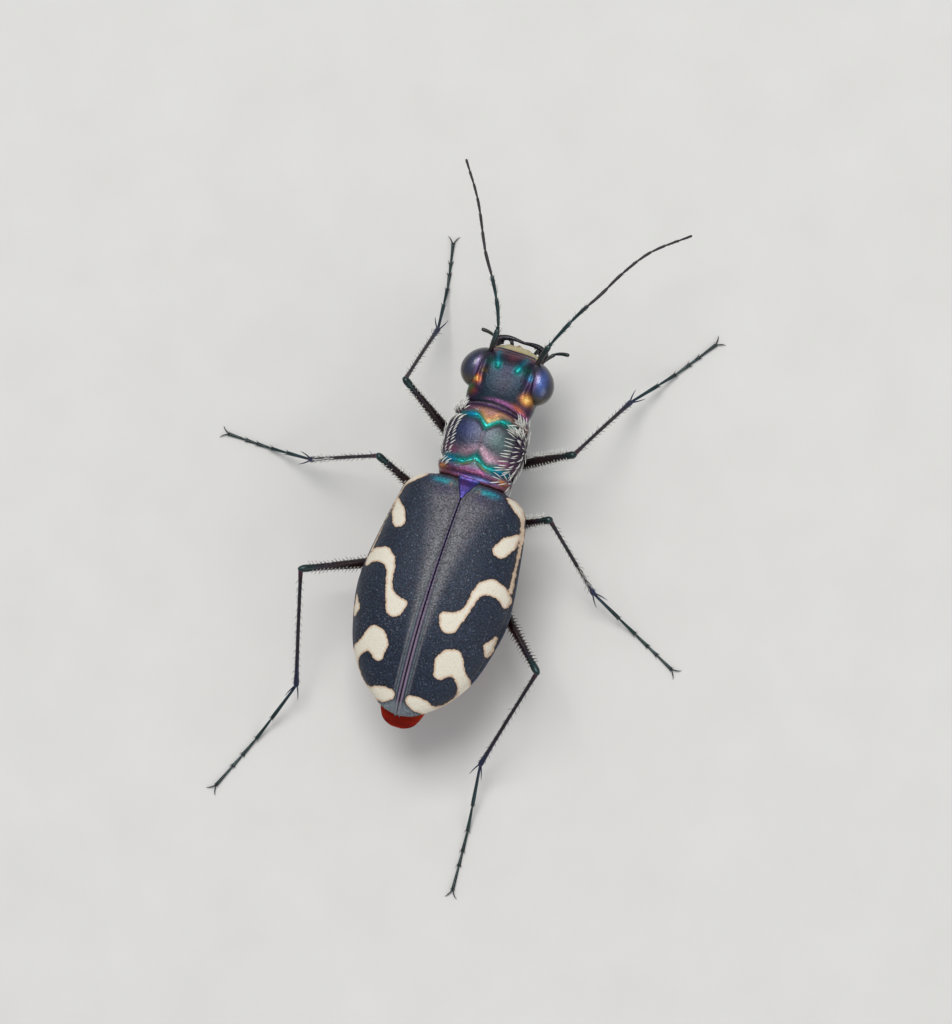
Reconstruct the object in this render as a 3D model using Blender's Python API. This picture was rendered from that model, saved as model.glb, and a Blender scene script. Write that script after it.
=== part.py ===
"""A tiger beetle at life size, standing still on its six feet.

Lengths are in millimetres until the last step, which scales every mesh to metres. A place on the beetle
is given as (right, forward, up): right and forward from the middle of the pronotum's rear edge, up from
the floor. The head faces -Y, so the beetle's right side is at -X.
"""

import math

import bmesh
import bpy
from mathutils import Matrix, Vector

MM = 0.001
UP = Vector((0, 0, 1))

# Clearance between neighbouring solids, and the least thickness of a limb away from its tip
GAP = 0.12
LIMB_RADIUS = 0.25
END_RADIUS = 0.16

# Head, neck to clypeus: (forward, half width, top, bottom)
HEAD_SECTIONS = (
    (2.83, 1.09, 3.80, 2.60),
    (3.05, 1.14, 3.84, 2.50),
    (3.35, 1.11, 3.87, 2.44),
    (3.70, 1.06, 3.88, 2.42),
    (3.94, 1.02, 3.84, 2.44),
    (4.16, 0.97, 3.73, 2.50),
    (4.34, 0.89, 3.56, 2.66),
    (4.45, 0.80, 3.38, 2.80),
    (4.51, 0.68, 3.26, 2.90),
)
HEAD_STATIONS = (2.83, 2.94, 3.10, 3.35, 3.60, 3.85, 4.02, 4.16, 4.28, 4.39, 4.46, 4.51)
HEAD_ROUNDNESS = ((2.83, 2.4), (3.30, 3.3), (4.10, 3.3), (4.51, 2.6))
HEAD_WIDEST = 3.15
HEAD_OFFSET = 0.03
NECK_LENGTH = 0.6
FRONS_PIT = (0.42, 4.12, 0.20)
FRONS_PIT_DEPTH = 0.08

# Eyes: the middle and radii of an ellipsoid whose ends are bent inwards and whose front is turned inwards
EYE_CENTRE = (1.06, 3.72, 3.24)
EYE_RADII = (0.51, 0.69, 0.52)
EYE_TURN = 0.10
EYE_BEND = 0.10
EYE_LEAN = 0.05

# Mouthparts
LABRUM_HALF_WIDTH = 0.74
LABRUM_LENGTH = 0.22
LABRUM_ARCH = 0.13
LABRUM_DROP = 0.22
LABRUM_TOOTH = (0.04, 0.25)
LABRUM_CORNER = 0.30
LABRUM_DROOP = 0.10
LABRUM_THICKNESS = 0.20
LABRUM_HEIGHT = 3.18
LABRUM_STEPS = 8
MANDIBLE_PATH = (
    (0.60, 4.56, 2.64),
    (0.80, 4.72, 2.62),
    (0.77, 4.93, 2.58),
    (0.40, 5.05, 2.55),
    (-0.15, 4.99, 2.52),
)
MANDIBLE_RADII = (0.24, 0.23, 0.19, 0.14, 0.05)
MANDIBLE_TIP_STEP = 0.15
MANDIBLE_RINGS = 9
MANDIBLE_TEETH = ((4, 0.30), (6, 0.20))
MANDIBLE_TOOTH_WIDTH = 0.6
MAXILLARY_PALP = (
    (0.58, 4.00, 2.20),
    (0.66, 4.26, 1.99),
    (0.94, 4.64, 1.97),
    (1.24, 4.92, 2.01),
    (1.50, 5.00, 2.08),
)
LABIAL_PALP = (
    (0.27, 3.86, 2.17),
    (0.28, 4.12, 1.95),
    (0.31, 4.48, 1.90),
    (0.42, 4.88, 1.88),
    (0.58, 5.12, 1.92),
)
PALP_SWELL = (0.70, 1.0, 0.92, 1.0, 0.92, 1.0, 0.85, 0.92, 0.80, 0.45)

# Antennae: places read from the root to the tip, then the lengths of the eleven segments as shares
ANTENNA_RIGHT = (
    (0.83, 4.51, 3.58),
    (1.12, 5.06, 3.72),
    (1.76, 6.24, 4.10),
    (2.25, 7.00, 4.20),
    (2.68, 7.80, 4.25),
    (3.38, 8.80, 4.20),
    (4.49, 9.75, 4.00),
)
ANTENNA_LEFT = (
    (-0.75, 4.51, 3.58),
    (-0.72, 5.20, 3.77),
    (-1.18, 6.30, 4.10),
    (-1.77, 7.26, 4.20),
    (-2.53, 8.80, 4.20),
    (-3.36, 10.01, 4.00),
)
SEGMENT_SHARES = (0.085, 0.03, 0.155, 0.125, 0.125, 0.10, 0.09, 0.08, 0.075, 0.07, 0.065)
METALLIC_SEGMENTS = 4
WHIP_TAPER = 0.9

# Pronotum, rear edge to front edge: (forward, half width, top, bottom)
PRONOTUM_SECTIONS = (
    (0.15, 1.18, 4.08, 2.72),
    (0.30, 1.26, 4.16, 2.62),
    (0.60, 1.27, 4.18, 2.52),
    (1.05, 1.33, 4.26, 2.46),
    (1.50, 1.35, 4.30, 2.44),
    (1.90, 1.31, 4.24, 2.48),
    (2.20, 1.26, 4.12, 2.56),
    (2.50, 1.22, 4.02, 2.64),
    (2.68, 1.12, 3.90, 2.74),
)
PRONOTUM_STATIONS = (
    (0.15, 0.22, 0.36, 0.50, 0.60, 0.72, 0.86, 1.05, 1.35)
    + (1.65, 1.82, 1.95, 2.07, 2.18, 2.30, 2.44, 2.58, 2.68)
)
PRONOTUM_WIDEST = 3.28
FRONT_ARCH = 0.42
FRONT_ARCH_HALF_WIDTH = 1.33
GROOVE_DEPTH = 0.13
GROOVE_WIDTH = 0.13
FRONT_GROOVE = (2.17, 1.84)
REAR_GROOVE = (0.57, 0.82)
GROOVE_PEAK_HALF_WIDTH = 0.44

# Elytra, base to apex, by distance behind the pronotum's rear edge
ELYTRA_HALF_WIDTH = (
    (0.02, 1.35), (0.28, 1.78), (0.62, 2.05), (1.10, 2.17), (2.00, 2.32), (3.20, 2.50),
    (4.20, 2.53), (5.30, 2.33), (6.20, 2.03), (7.00, 1.50), (7.48, 0.98), (7.80, 0.47),
)
ELYTRA_TOP = (
    (0.02, 4.28), (0.60, 4.52), (2.00, 4.78), (3.60, 4.88),
    (5.20, 4.70), (6.60, 4.24), (7.40, 3.86), (7.80, 3.62),
)
ELYTRA_STATIONS = (
    (0.02, 0.10, 0.28, 0.48, 0.72, 1.10, 1.70, 2.40, 3.20, 4.00)
    + (4.80, 5.50, 6.10, 6.60, 7.00, 7.28, 7.50, 7.68, 7.80)
)
ELYTRA_MARGIN = 3.36
ELYTRA_LIP = 0.16
ELYTRA_THICKNESS = 0.48
ELYTRA_ROUNDNESS = 2.25
SUTURE_GAP = 0.10
ARC_STEPS = 12

# Scutellum
SCUTELLUM_HALF_WIDTH = 0.34
SCUTELLUM_LENGTH = 0.70
SCUTELLUM_SHARES = (0.0, 0.15, 0.45, 0.75)
SCUTELLUM_THICKNESS = 0.40

# Thorax behind the pronotum: (behind, bottom)
THORAX_SECTIONS = (
    (0.0, 2.72), (0.2, 2.55), (0.6, 2.42), (1.1, 2.35), (1.8, 2.35), (2.5, 2.35), (2.95, 2.42),
)
TRUNK_WIDEST = 3.26

# Abdomen: (behind, half width, top, bottom) where it passes the wing tips
BELLY = 2.35
ABDOMEN_REAR = 8.20
ABDOMEN_SEGMENTS = 6
ABDOMEN_END = (
    (6.00, 1.42, 3.70, 2.38),
    (6.60, 1.16, 3.36, 2.42),
    (7.00, 0.96, 3.08, 2.46),
    (7.40, 0.80, 3.00, 2.50),
    (7.80, 0.70, 2.98, 2.55),
    (8.05, 0.54, 2.95, 2.62),
    (8.20, 0.34, 2.90, 2.70),
)

# Legs: (right, forward, up) of hip, knee and ankle, and the toe's place on the floor
LEGS = {
    "front_left": ((-0.72, 0.98, 1.95), (-3.13, 2.61, 3.45), (-3.02, 4.72, 1.10), (-3.60, 7.68)),
    "front_right": ((0.72, 0.98, 1.95), (2.90, 1.87, 3.40), (3.76, 4.29, 0.95), (5.73, 7.01)),
    "mid_left": ((-0.88, -1.05, 1.88), (-3.24, 0.00, 3.18), (-5.72, -0.58, 1.05), (-8.78, -0.48)),
    "mid_right": ((0.88, -1.05, 1.88), (2.76, -0.36, 3.10), (4.53, -2.05, 1.00), (7.63, -3.61)),
    "hind_left": ((-1.25, -2.75, 1.86), (-4.47, -4.29, 3.50), (-3.87, -7.78, 1.00), (-5.57, -11.65)),
    "hind_right": ((1.25, -2.75, 1.86), (3.96, -5.24, 3.50), (2.71, -8.47, 1.00), (2.96, -12.61)),
}
# Coxae, seated in sockets of the underside: (right, forward, up) of the middle, and the three radii
COXAE = {
    "front": ((0.58, 0.95, 2.16), (0.46, 0.42, 0.44)),
    "mid": ((0.66, -1.05, 2.08), (0.50, 0.43, 0.42)),
    "hind": ((0.92, -2.62, 2.04), (0.74, 0.37, 0.40)),
}
FEMUR_SHAPE = ((0.0, 0.24), (0.12, 0.29), (0.24, 0.25), (0.45, 0.28), (0.75, 0.26), (1.0, 0.26))
TIBIA_SHAPE = ((0.0, 0.25), (0.30, 0.25), (0.60, 0.25), (0.88, 0.27), (1.0, 0.29))
KNEE_RADIUS = 0.26
ANKLE_RADIUS = 0.29
SPUR_LENGTH = 0.80
SPUR_RADIUS = 0.15
SPUR_SPREAD = 0.75
TARSOMERES = (0.34, 0.20, 0.16, 0.12, 0.18)
TOE_HEIGHT = 0.20
TARSUS_LANDING = 0.55
CLAW_LENGTH = 0.30
CLAW_ROOT = 0.20
CLAW_RADIUS = 0.13
CLAW_SPREAD = 0.65

# A spine's thickness, as (share of its length, share of its radius)
SPINE_SHAPE = ((0.0, 1.0), (0.6, 0.65), (1.0, 0.25))

# Numbers of faces round and along a piece
BODY_SIDES = 26
EYE_SIDES = 14
COXA_SIDES = 12
LIMB_SIDES = 8
SPINE_SIDES = 5

# Finishes: colour, roughness and how metallic
FINISHES = {
    "bronze_cuticle": ((0.10, 0.08, 0.11), 0.35, 0.7),
    "black_cuticle": ((0.025, 0.027, 0.04), 0.45, 0.3),
    "elytra": ((0.05, 0.055, 0.08), 0.55, 0.1),
    "eye": ((0.06, 0.055, 0.09), 0.2, 0.0),
    "cream_cuticle": ((0.78, 0.68, 0.50), 0.45, 0.0),
    "red_abdomen": ((0.42, 0.05, 0.015), 0.4, 0.0),
    "green_leg": ((0.03, 0.09, 0.08), 0.3, 0.6),
    "brown_antenna": ((0.07, 0.05, 0.05), 0.6, 0.0),
}


def at(right, forward, up):
    """The point at a place on the beetle."""
    return Vector((-right, -forward, up))


def smooth_value(points, where):
    """The height at `where` of a smooth curve through (place, height) points, level with no overshoot."""
    if where <= points[0][0]:
        return points[0][1]
    for (a, start), (b, end) in zip(points, points[1:]):
        if where <= b:
            break
    else:
        return points[-1][1]
    index = points.index((a, start))
    before = points[max(index - 1, 0)]
    after = points[min(index + 2, len(points) - 1)]
    slope_in = (end - before[1]) / (b - before[0])
    slope_out = (after[1] - start) / (after[0] - a)
    share = (where - a) / (b - a)
    square, cube = share ** 2, share ** 3
    return (
        (2 * cube - 3 * square + 1) * start
        + (cube - 2 * square + share) * (b - a) * slope_in
        + (3 * square - 2 * cube) * end
        + (cube - square) * (b - a) * slope_out
    )


def smooth_path(places, count):
    """Points spaced evenly along a smooth curve through the places."""
    far = [0.0]
    for a, b in zip(places, places[1:]):
        far.append(far[-1] + (b - a).length)
    curves = [tuple((d, place[axis]) for d, place in zip(far, places)) for axis in range(3)]
    steps = [far[-1] * i / (count - 1) for i in range(count)]
    return [Vector([smooth_value(curve, step) for curve in curves]) for step in steps]


def material(finish):
    """The material of a finish, made the first time that it is asked for."""
    made = bpy.data.materials.get(finish)
    if made is None:
        colour, roughness, metallic = FINISHES[finish]
        made = bpy.data.materials.new(finish)
        made.use_nodes = True
        shader = made.node_tree.nodes["Principled BSDF"]
        shader.inputs["Base Color"].default_value = (*colour, 1)
        shader.inputs["Roughness"].default_value = roughness
        shader.inputs["Metallic"].default_value = metallic
    return made


def solid(name, bm, finish):
    """An object from a finished bmesh, with its faces outwards and its corners split into triangles."""
    bmesh.ops.recalc_face_normals(bm, faces=bm.faces)
    bmesh.ops.triangulate(bm, faces=bm.faces, quad_method="SHORT_EDGE")
    mesh = bpy.data.meshes.new(name)
    bm.to_mesh(mesh)
    bm.free()
    mesh.materials.append(material(finish))
    mesh.shade_smooth()
    made = bpy.data.objects.new(name, mesh)
    bpy.context.scene.collection.objects.link(made)
    return made


def loft(name, rings, finish):
    """A closed solid through rings of equal counts of points, with a flat face on each end."""
    bm = bmesh.new()
    loops = [[bm.verts.new(point) for point in ring] for ring in rings]
    for near, far in zip(loops, loops[1:]):
        for i in range(len(near)):
            j = (i + 1) % len(near)
            bm.faces.new((near[i], near[j], far[j], far[i]))
    bm.faces.new(loops[0])
    bm.faces.new(loops[-1])
    return solid(name, bm, finish)


def tube_rings(path, radii, sides):
    """Rings round a path, each with a flat side down so that a foot can rest on it."""
    rings = []
    for i, (centre, radius) in enumerate(zip(path, radii)):
        along = (path[min(i + 1, len(path) - 1)] - path[max(i - 1, 0)]).normalized()
        side = along.cross(UP).normalized()
        over = side.cross(along)
        ring = []
        for step in range(sides):
            angle = (step + 0.5) * math.tau / sides + math.pi / 2
            ring.append(centre + radius * (math.cos(angle) * side + math.sin(angle) * over))
        rings.append(ring)
    return rings


def limb_rings(start, end, shape, sides=LIMB_SIDES):
    """Rings of a straight limb with rounded ends, its radius read from (share of length, radius) points."""
    length = (end - start).length
    first, last = shape[0][1], shape[-1][1]
    dome = [(1 - math.cos(math.radians(a)), math.sin(math.radians(a))) for a in (22, 52)]
    stops = [(first * d / length, first * r) for d, r in dome]
    inner = [first / length] + [share for share, _ in shape[1:-1]] + [1 - last / length]
    stops += [(share, smooth_value(shape, share)) for share in inner]
    stops += [(1 - last * d / length, last * r) for d, r in reversed(dome)]
    path = [start.lerp(end, share) for share, _ in stops]
    return tube_rings(path, [radius for _, radius in stops], sides)


def spine(root, tip, radius, finish="black_cuticle"):
    """A tapered spine to be fused to a limb."""
    path = [root.lerp(tip, share) for share, _ in SPINE_SHAPE]
    radii = [radius * size for _, size in SPINE_SHAPE]
    return loft("spine", tube_rings(path, radii, SPINE_SIDES), finish)


def keep_largest(node):
    """Keeps only the largest closed surface of a node."""
    bm = bmesh.new()
    bm.from_mesh(node.data)
    left, surfaces = set(bm.faces), []
    while left:
        surface, edge = [], [left.pop()]
        while edge:
            face = edge.pop()
            surface.append(face)
            near = {other for side in face.edges for other in side.link_faces} & left
            left -= near
            edge += near
        surfaces.append(surface)
    surfaces.sort(key=lambda faces: sum(face.calc_area() for face in faces))
    for surface in surfaces[:-1]:
        bmesh.ops.delete(bm, geom=surface, context="FACES")
    bm.to_mesh(node.data)
    bm.free()


def fuse(node, extras):
    """Joins closed pieces to a node with one union, and keeps the one closed body that it makes."""
    pieces = bpy.data.collections.new("pieces")
    for extra in extras:
        bpy.context.scene.collection.objects.unlink(extra)
        pieces.objects.link(extra)
    union = node.modifiers.new("union", "BOOLEAN")
    union.operation = "UNION"
    union.operand_type = "COLLECTION"
    union.collection = pieces
    union.solver = "EXACT"
    apply_modifiers(node)
    keep_largest(node)
    for extra in extras:
        bpy.data.objects.remove(extra)
    bpy.data.collections.remove(pieces)


def cut(node, cutter):
    """Cuts one closed piece from a node and removes the cutter."""
    difference = node.modifiers.new("socket", "BOOLEAN")
    difference.operation = "DIFFERENCE"
    difference.object = cutter
    difference.solver = "EXACT"
    apply_modifiers(node)
    keep_largest(node)
    bpy.data.objects.remove(cutter)


def apply_modifiers(node):
    """Replaces a node's mesh by its evaluated one."""
    bpy.context.view_layer.update()
    graph = bpy.context.evaluated_depsgraph_get()
    mesh = bpy.data.meshes.new_from_object(node.evaluated_get(graph))
    node.modifiers.clear()
    node.data = mesh


def body_ring(forward, half_width, top, bottom, widest, roundness=2.2, sides=BODY_SIDES):
    """A ring across the body: a rounded box about the height where it is widest."""
    ring = []
    power = 2 / roundness
    for step in range(sides):
        angle = math.tau * step / sides
        across, rise = math.cos(angle), math.sin(angle)
        right = half_width * math.copysign(abs(across) ** power, across)
        reach = (top - widest) if rise > 0 else (widest - bottom)
        ring.append(at(right, forward, widest + reach * math.copysign(abs(rise) ** power, rise)))
    return ring


def front_arch(right, share=1.0):
    """How far the pronotum's front edge and the neck fall back at a distance from the middle."""
    return FRONT_ARCH * share * (right / FRONT_ARCH_HALF_WIDTH) ** 2


def section_at(sections, forward):
    """Half width, top and bottom read from a table of sections at a distance forward."""
    return [smooth_value(tuple((s[0], s[i]) for s in sections), forward) for i in (1, 2, 3)]


def groove_line(right, groove):
    """Where a transverse groove of the pronotum lies, forward, at a distance from the middle."""
    side, middle = groove
    nearness = max(0.0, 1 - abs(right) / GROOVE_PEAK_HALF_WIDTH)
    return side + (middle - side) * nearness ** 1.3


def grooved(point, forward):
    """A point of the pronotum's back pressed in where a groove crosses it."""
    right = -point.x
    away = min(abs(forward - groove_line(right, groove)) for groove in (FRONT_GROOVE, REAR_GROOVE))
    near = math.exp(-((away / GROOVE_WIDTH) ** 2))
    upper = min(1.0, max(0.0, (point.z - PRONOTUM_WIDEST + 0.3) / 0.6))
    centre = Vector((0, point.y, PRONOTUM_WIDEST))
    return point + (centre - point).normalized() * GROOVE_DEPTH * near * upper


def make_pronotum():
    """The shield over the first thorax segment, with its two transverse grooves and arched front edge."""
    rear, front = PRONOTUM_STATIONS[0], PRONOTUM_STATIONS[-1]
    rings = []
    for forward in PRONOTUM_STATIONS:
        half_width, top, bottom = section_at(PRONOTUM_SECTIONS, forward)
        ring = [grooved(p, forward) for p in body_ring(forward, half_width, top, bottom, PRONOTUM_WIDEST)]
        share = (forward - rear) / (front - rear)
        for point in ring:
            point.y += front_arch(-point.x, share ** 3)
        rings.append(ring)
    return loft("pronotum", rings, "bronze_cuticle")


def pitted(point):
    """A point of the head pressed in at the two shallow pits of the frons."""
    right, forward, size = FRONS_PIT
    depth = 0.0
    for side in (-1, 1):
        away = math.hypot(-point.x - side * right, -point.y - forward) / size
        depth = max(depth, FRONS_PIT_DEPTH * math.exp(-away ** 2))
    return point - UP * depth * (point.z > HEAD_WIDEST)


def ellipsoid(name, centre, radii, finish, sides):
    """A closed ellipsoid, from a UV sphere."""
    bm = bmesh.new()
    place = Matrix.Translation(centre) @ Matrix.Diagonal((*radii, 1))
    bmesh.ops.create_uvsphere(bm, u_segments=sides, v_segments=sides // 2 + 1, radius=1, matrix=place)
    return solid(name, bm, finish)


def bent_eye(name, side, room=0.0):
    """One compound eye, or its socket when it is given some room; side is -1 on the left."""
    right, forward, up = EYE_CENTRE
    radii = [radius + room for radius in EYE_RADII]
    eye = ellipsoid(name, at(HEAD_OFFSET + side * right, forward, up), radii, "eye", EYE_SIDES)
    for vertex in eye.data.vertices:
        ahead = (-vertex.co.y - forward) / radii[1]
        out = (-vertex.co.x * side - HEAD_OFFSET * side - right) / radii[0]
        vertex.co.x += side * (EYE_BEND * ahead ** 2 + EYE_TURN * ahead)
        vertex.co.z += EYE_LEAN * radii[2] * out
    return eye


def make_head():
    """The head capsule, hollowed on both sides to seat the eyes."""
    rings = []
    for forward in HEAD_STATIONS:
        half_width, top, bottom = section_at(HEAD_SECTIONS, forward)
        widest = min(HEAD_WIDEST, (top + bottom) / 2)
        roundness = smooth_value(HEAD_ROUNDNESS, forward)
        ring = [pitted(p) for p in body_ring(forward, half_width, top, bottom, widest, roundness)]
        share = max(0.0, 1 - (forward - HEAD_STATIONS[0]) / NECK_LENGTH)
        for point in ring:
            point.y += front_arch(-point.x, share)
            point.x -= HEAD_OFFSET
        rings.append(ring)
    head = loft("head", rings, "bronze_cuticle")
    for side in (-1, 1):
        cut(head, bent_eye("socket", side, GAP))
    return head


def make_eyes():
    """The two bulging compound eyes."""
    for side, name in ((-1, "eye_left"), (1, "eye_right")):
        bent_eye(name, side)


def make_labrum():
    """The pale upper lip: a plate that slopes down in front of the clypeus, with a middle tooth."""
    root = HEAD_STATIONS[-1] + GAP
    rings = []
    for share in (0.0, 0.5, 0.85, 1.0):
        ring = []
        for step in range(LABRUM_STEPS + 1):
            across = 2 * step / LABRUM_STEPS - 1
            reach = LABRUM_LENGTH * (1 - LABRUM_CORNER * across ** 4)
            reach += LABRUM_TOOTH[0] * math.exp(-(across / LABRUM_TOOTH[1]) ** 2)
            forward = root + reach * share - LABRUM_ARCH * across ** 2
            up = LABRUM_HEIGHT - LABRUM_DROP * share - LABRUM_DROOP * across ** 2
            ring.append(at(HEAD_OFFSET + LABRUM_HALF_WIDTH * across, forward, up))
        under = [point - UP * LABRUM_THICKNESS * (1 - 0.4 * share) for point in reversed(ring)]
        rings.append(ring + under)
    return loft("labrum", rings, "cream_cuticle")


def make_mandible(side, name, lift):
    """A sickle jaw with two teeth on its inner edge; its tip passes over or under the other's."""
    places = []
    for i, (right, forward, up) in enumerate(MANDIBLE_PATH):
        share = i / (len(MANDIBLE_PATH) - 1)
        places.append(at(HEAD_OFFSET + side * right, forward, up + lift * share ** 2))
    path = smooth_path(places, MANDIBLE_RINGS)
    table = tuple((i / (len(MANDIBLE_RADII) - 1), r) for i, r in enumerate(MANDIBLE_RADII))
    radii = [smooth_value(table, i / (MANDIBLE_RINGS - 1)) for i in range(MANDIBLE_RINGS)]
    jaw = loft(name, tube_rings(path, radii, LIMB_SIDES), "black_cuticle")
    teeth = []
    for step, size in MANDIBLE_TEETH:
        along = (path[step + 1] - path[step - 1]).normalized()
        inward = side * along.cross(UP).normalized() * -1
        tip = path[step] + inward * (radii[step] + size)
        teeth.append(spine(path[step], tip, radii[step] * MANDIBLE_TOOTH_WIDTH))
    fuse(jaw, teeth)
    return jaw


def make_palp(name, places, side, finish):
    """A jointed feeler of the mouth, each joint a little swollen at its end."""
    path = smooth_path([at(HEAD_OFFSET + side * r, f, u) for r, f, u in places], len(PALP_SWELL))
    radii = [LIMB_RADIUS * swell for swell in PALP_SWELL]
    return loft(name, tube_rings(path, radii, LIMB_SIDES), finish)


def antenna_stops():
    """(share of length, radius) along an antenna, each segment widest near its end."""
    stops, reach = [], 0.0
    for index, share in enumerate(SEGMENT_SHARES):
        slim = 1 - WHIP_TAPER * max(0.0, reach - 0.6)
        base = LIMB_RADIUS * slim * (1.1 if index == 0 else 0.94)
        tip = LIMB_RADIUS * slim * (1.2 if index == 0 else 1.06)
        stops += [(reach, base), (reach + share * 0.85, tip)]
        reach += share
    stops.append((reach, LIMB_RADIUS * 0.45))
    return stops


def make_antenna(side_name, places):
    """One antenna of eleven segments, as a metallic base and a duller whip."""
    path = [at(*place) for place in places]
    length = sum((b - a).length for a, b in zip(path, path[1:]))
    fine = smooth_path(path, 121)
    split = sum(SEGMENT_SHARES[:METALLIC_SEGMENTS])
    half_gap, lip = GAP / 2 / length, 0.012
    stops = antenna_stops()
    base = [(0.0, END_RADIUS), (lip, LIMB_RADIUS)]
    base += [stop for stop in stops[1:] if stop[0] < split - 2 * lip]
    base += [(split - half_gap - lip, LIMB_RADIUS), (split - half_gap, END_RADIUS)]
    whip = [(split + half_gap, END_RADIUS), (split + half_gap + lip, LIMB_RADIUS)]
    whip += [stop for stop in stops if stop[0] > split + 3 * lip]
    for name, parts, finish in (("base", base, "green_leg"), ("whip", whip, "brown_antenna")):
        points = [point_along(fine, share) for share, _ in parts]
        loft(f"antenna_{side_name}_{name}", tube_rings(points, [r for _, r in parts], LIMB_SIDES), finish)


def point_along(fine, share):
    """The point at a share of the length of evenly spaced points."""
    place = min(max(share, 0.0), 1.0) * (len(fine) - 1)
    index = min(int(place), len(fine) - 2)
    return fine[index].lerp(fine[index + 1], place - index)


def elytron_ring(behind, side):
    """A section across one wing case: its outer arc, its turned-down lip and its inner arc."""
    half_width = smooth_value(ELYTRA_HALF_WIDTH, behind)
    top = smooth_value(ELYTRA_TOP, behind)
    room = (SCUTELLUM_HALF_WIDTH + GAP) * max(0.0, 1 - behind / SCUTELLUM_LENGTH)
    suture = SUTURE_GAP / 2 + room
    thickness = min(ELYTRA_THICKNESS, 0.45 * (half_width - suture))
    power = 2 / ELYTRA_ROUNDNESS

    def arc(width, height):
        points = []
        for step in range(ARC_STEPS + 1):
            angle = math.pi / 2 * step / ARC_STEPS
            out = suture + (width - suture) * math.sin(angle) ** power
            rise = ELYTRA_MARGIN + (height - ELYTRA_MARGIN) * max(math.cos(angle), 0.0) ** power
            points.append(at(side * out, -behind, rise))
        return points

    lip = ELYTRA_MARGIN - ELYTRA_LIP * min(1.0, (half_width - 0.2))
    outer = arc(half_width, top) + [at(side * (half_width - 0.06), -behind, lip)]
    inner_width = half_width - thickness
    inner = arc(inner_width, top - thickness) + [at(side * (inner_width + 0.04), -behind, lip)]
    return outer + inner[::-1]


def make_elytra():
    """The two wing cases, which meet along the middle of the back."""
    for side, name in ((-1, "elytron_left"), (1, "elytron_right")):
        loft(name, [elytron_ring(behind, side) for behind in ELYTRA_STATIONS], "elytra")


def make_scutellum():
    """The small triangular plate between the bases of the wing cases."""
    rings = []
    for share in SCUTELLUM_SHARES:
        behind = ELYTRA_STATIONS[0] + 0.01 + share * SCUTELLUM_LENGTH
        top = smooth_value(ELYTRA_TOP, behind) + 0.02
        bottom = top - SCUTELLUM_THICKNESS
        half_width = SCUTELLUM_HALF_WIDTH * (1 - share)
        rings.append(body_ring(-behind, half_width, top, bottom, (top + bottom) / 2, 2.6, LIMB_SIDES))
    return loft("scutellum", rings, "bronze_cuticle")


def inside_elytra(behind):
    """Half width and top of what fits under the wing cases at a distance behind the pronotum."""
    wall = ELYTRA_THICKNESS + GAP
    return smooth_value(ELYTRA_HALF_WIDTH, behind) - wall, smooth_value(ELYTRA_TOP, behind) - wall


def make_thorax():
    """The second and third thorax segments, which carry the middle and hind legs."""
    rings = []
    for behind, bottom in THORAX_SECTIONS:
        half_width, top = inside_elytra(max(behind, 0.05))
        rings.append(body_ring(-behind, half_width, top, bottom, TRUNK_WIDEST, 2.3))
    return loft("thorax", rings, "black_cuticle")


def abdomen_ring(behind, swell):
    """A section of the abdomen, tucked under the wing cases until it passes their tips."""
    if behind < ABDOMEN_END[0][0]:
        half_width, top = inside_elytra(behind)
        bottom = BELLY
    else:
        half_width, top, bottom = section_at(ABDOMEN_END, behind)
    widest = min(TRUNK_WIDEST - 0.1, bottom + 0.55 * (top - bottom))
    return body_ring(-behind, half_width * (1 - swell / 2), top, bottom + swell, widest, 2.1)


def make_abdomen():
    """The abdomen, whose segments lap one another and whose red tip shows behind the wing cases."""
    start = THORAX_SECTIONS[-1][0] + GAP
    step = (ABDOMEN_REAR - start) / ABDOMEN_SEGMENTS
    rings = []
    for index in range(ABDOMEN_SEGMENTS):
        near, far = start + index * step, start + (index + 1) * step
        rings += [abdomen_ring(near, 0.07), abdomen_ring(near + 0.12, 0.02), abdomen_ring(far - 0.04, 0.0)]
    rings.append(abdomen_ring(ABDOMEN_REAR, 0.06))
    return loft("abdomen", rings, "red_abdomen")


def tibia_spurs(knee, ankle, toe):
    """Two spurs that splay from the end of a tibia beside the foot."""
    along = (ankle - knee).normalized()
    onward = (toe - ankle).normalized()
    side = along.cross(UP).normalized()
    spurs = []
    for sign in (-1, 1):
        way = (onward * 0.35 + along * 0.65 + side * sign * SPUR_SPREAD).normalized()
        root = ankle - along * ANKLE_RADIUS
        spurs.append(spine(root, root + way * SPUR_LENGTH, SPUR_RADIUS))
    return spurs


def tarsus_path(ankle, toe, count):
    """The foot's middle line: down from the ankle, then level along the floor to the toe."""
    landing = ankle.lerp(toe, TARSUS_LANDING)
    landing.z = TOE_HEIGHT + 0.04
    start = ankle + (landing - ankle).normalized() * (ANKLE_RADIUS + GAP)
    return smooth_path([start, ankle.lerp(landing, 0.55) - UP * 0.06, landing, toe], count)


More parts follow.
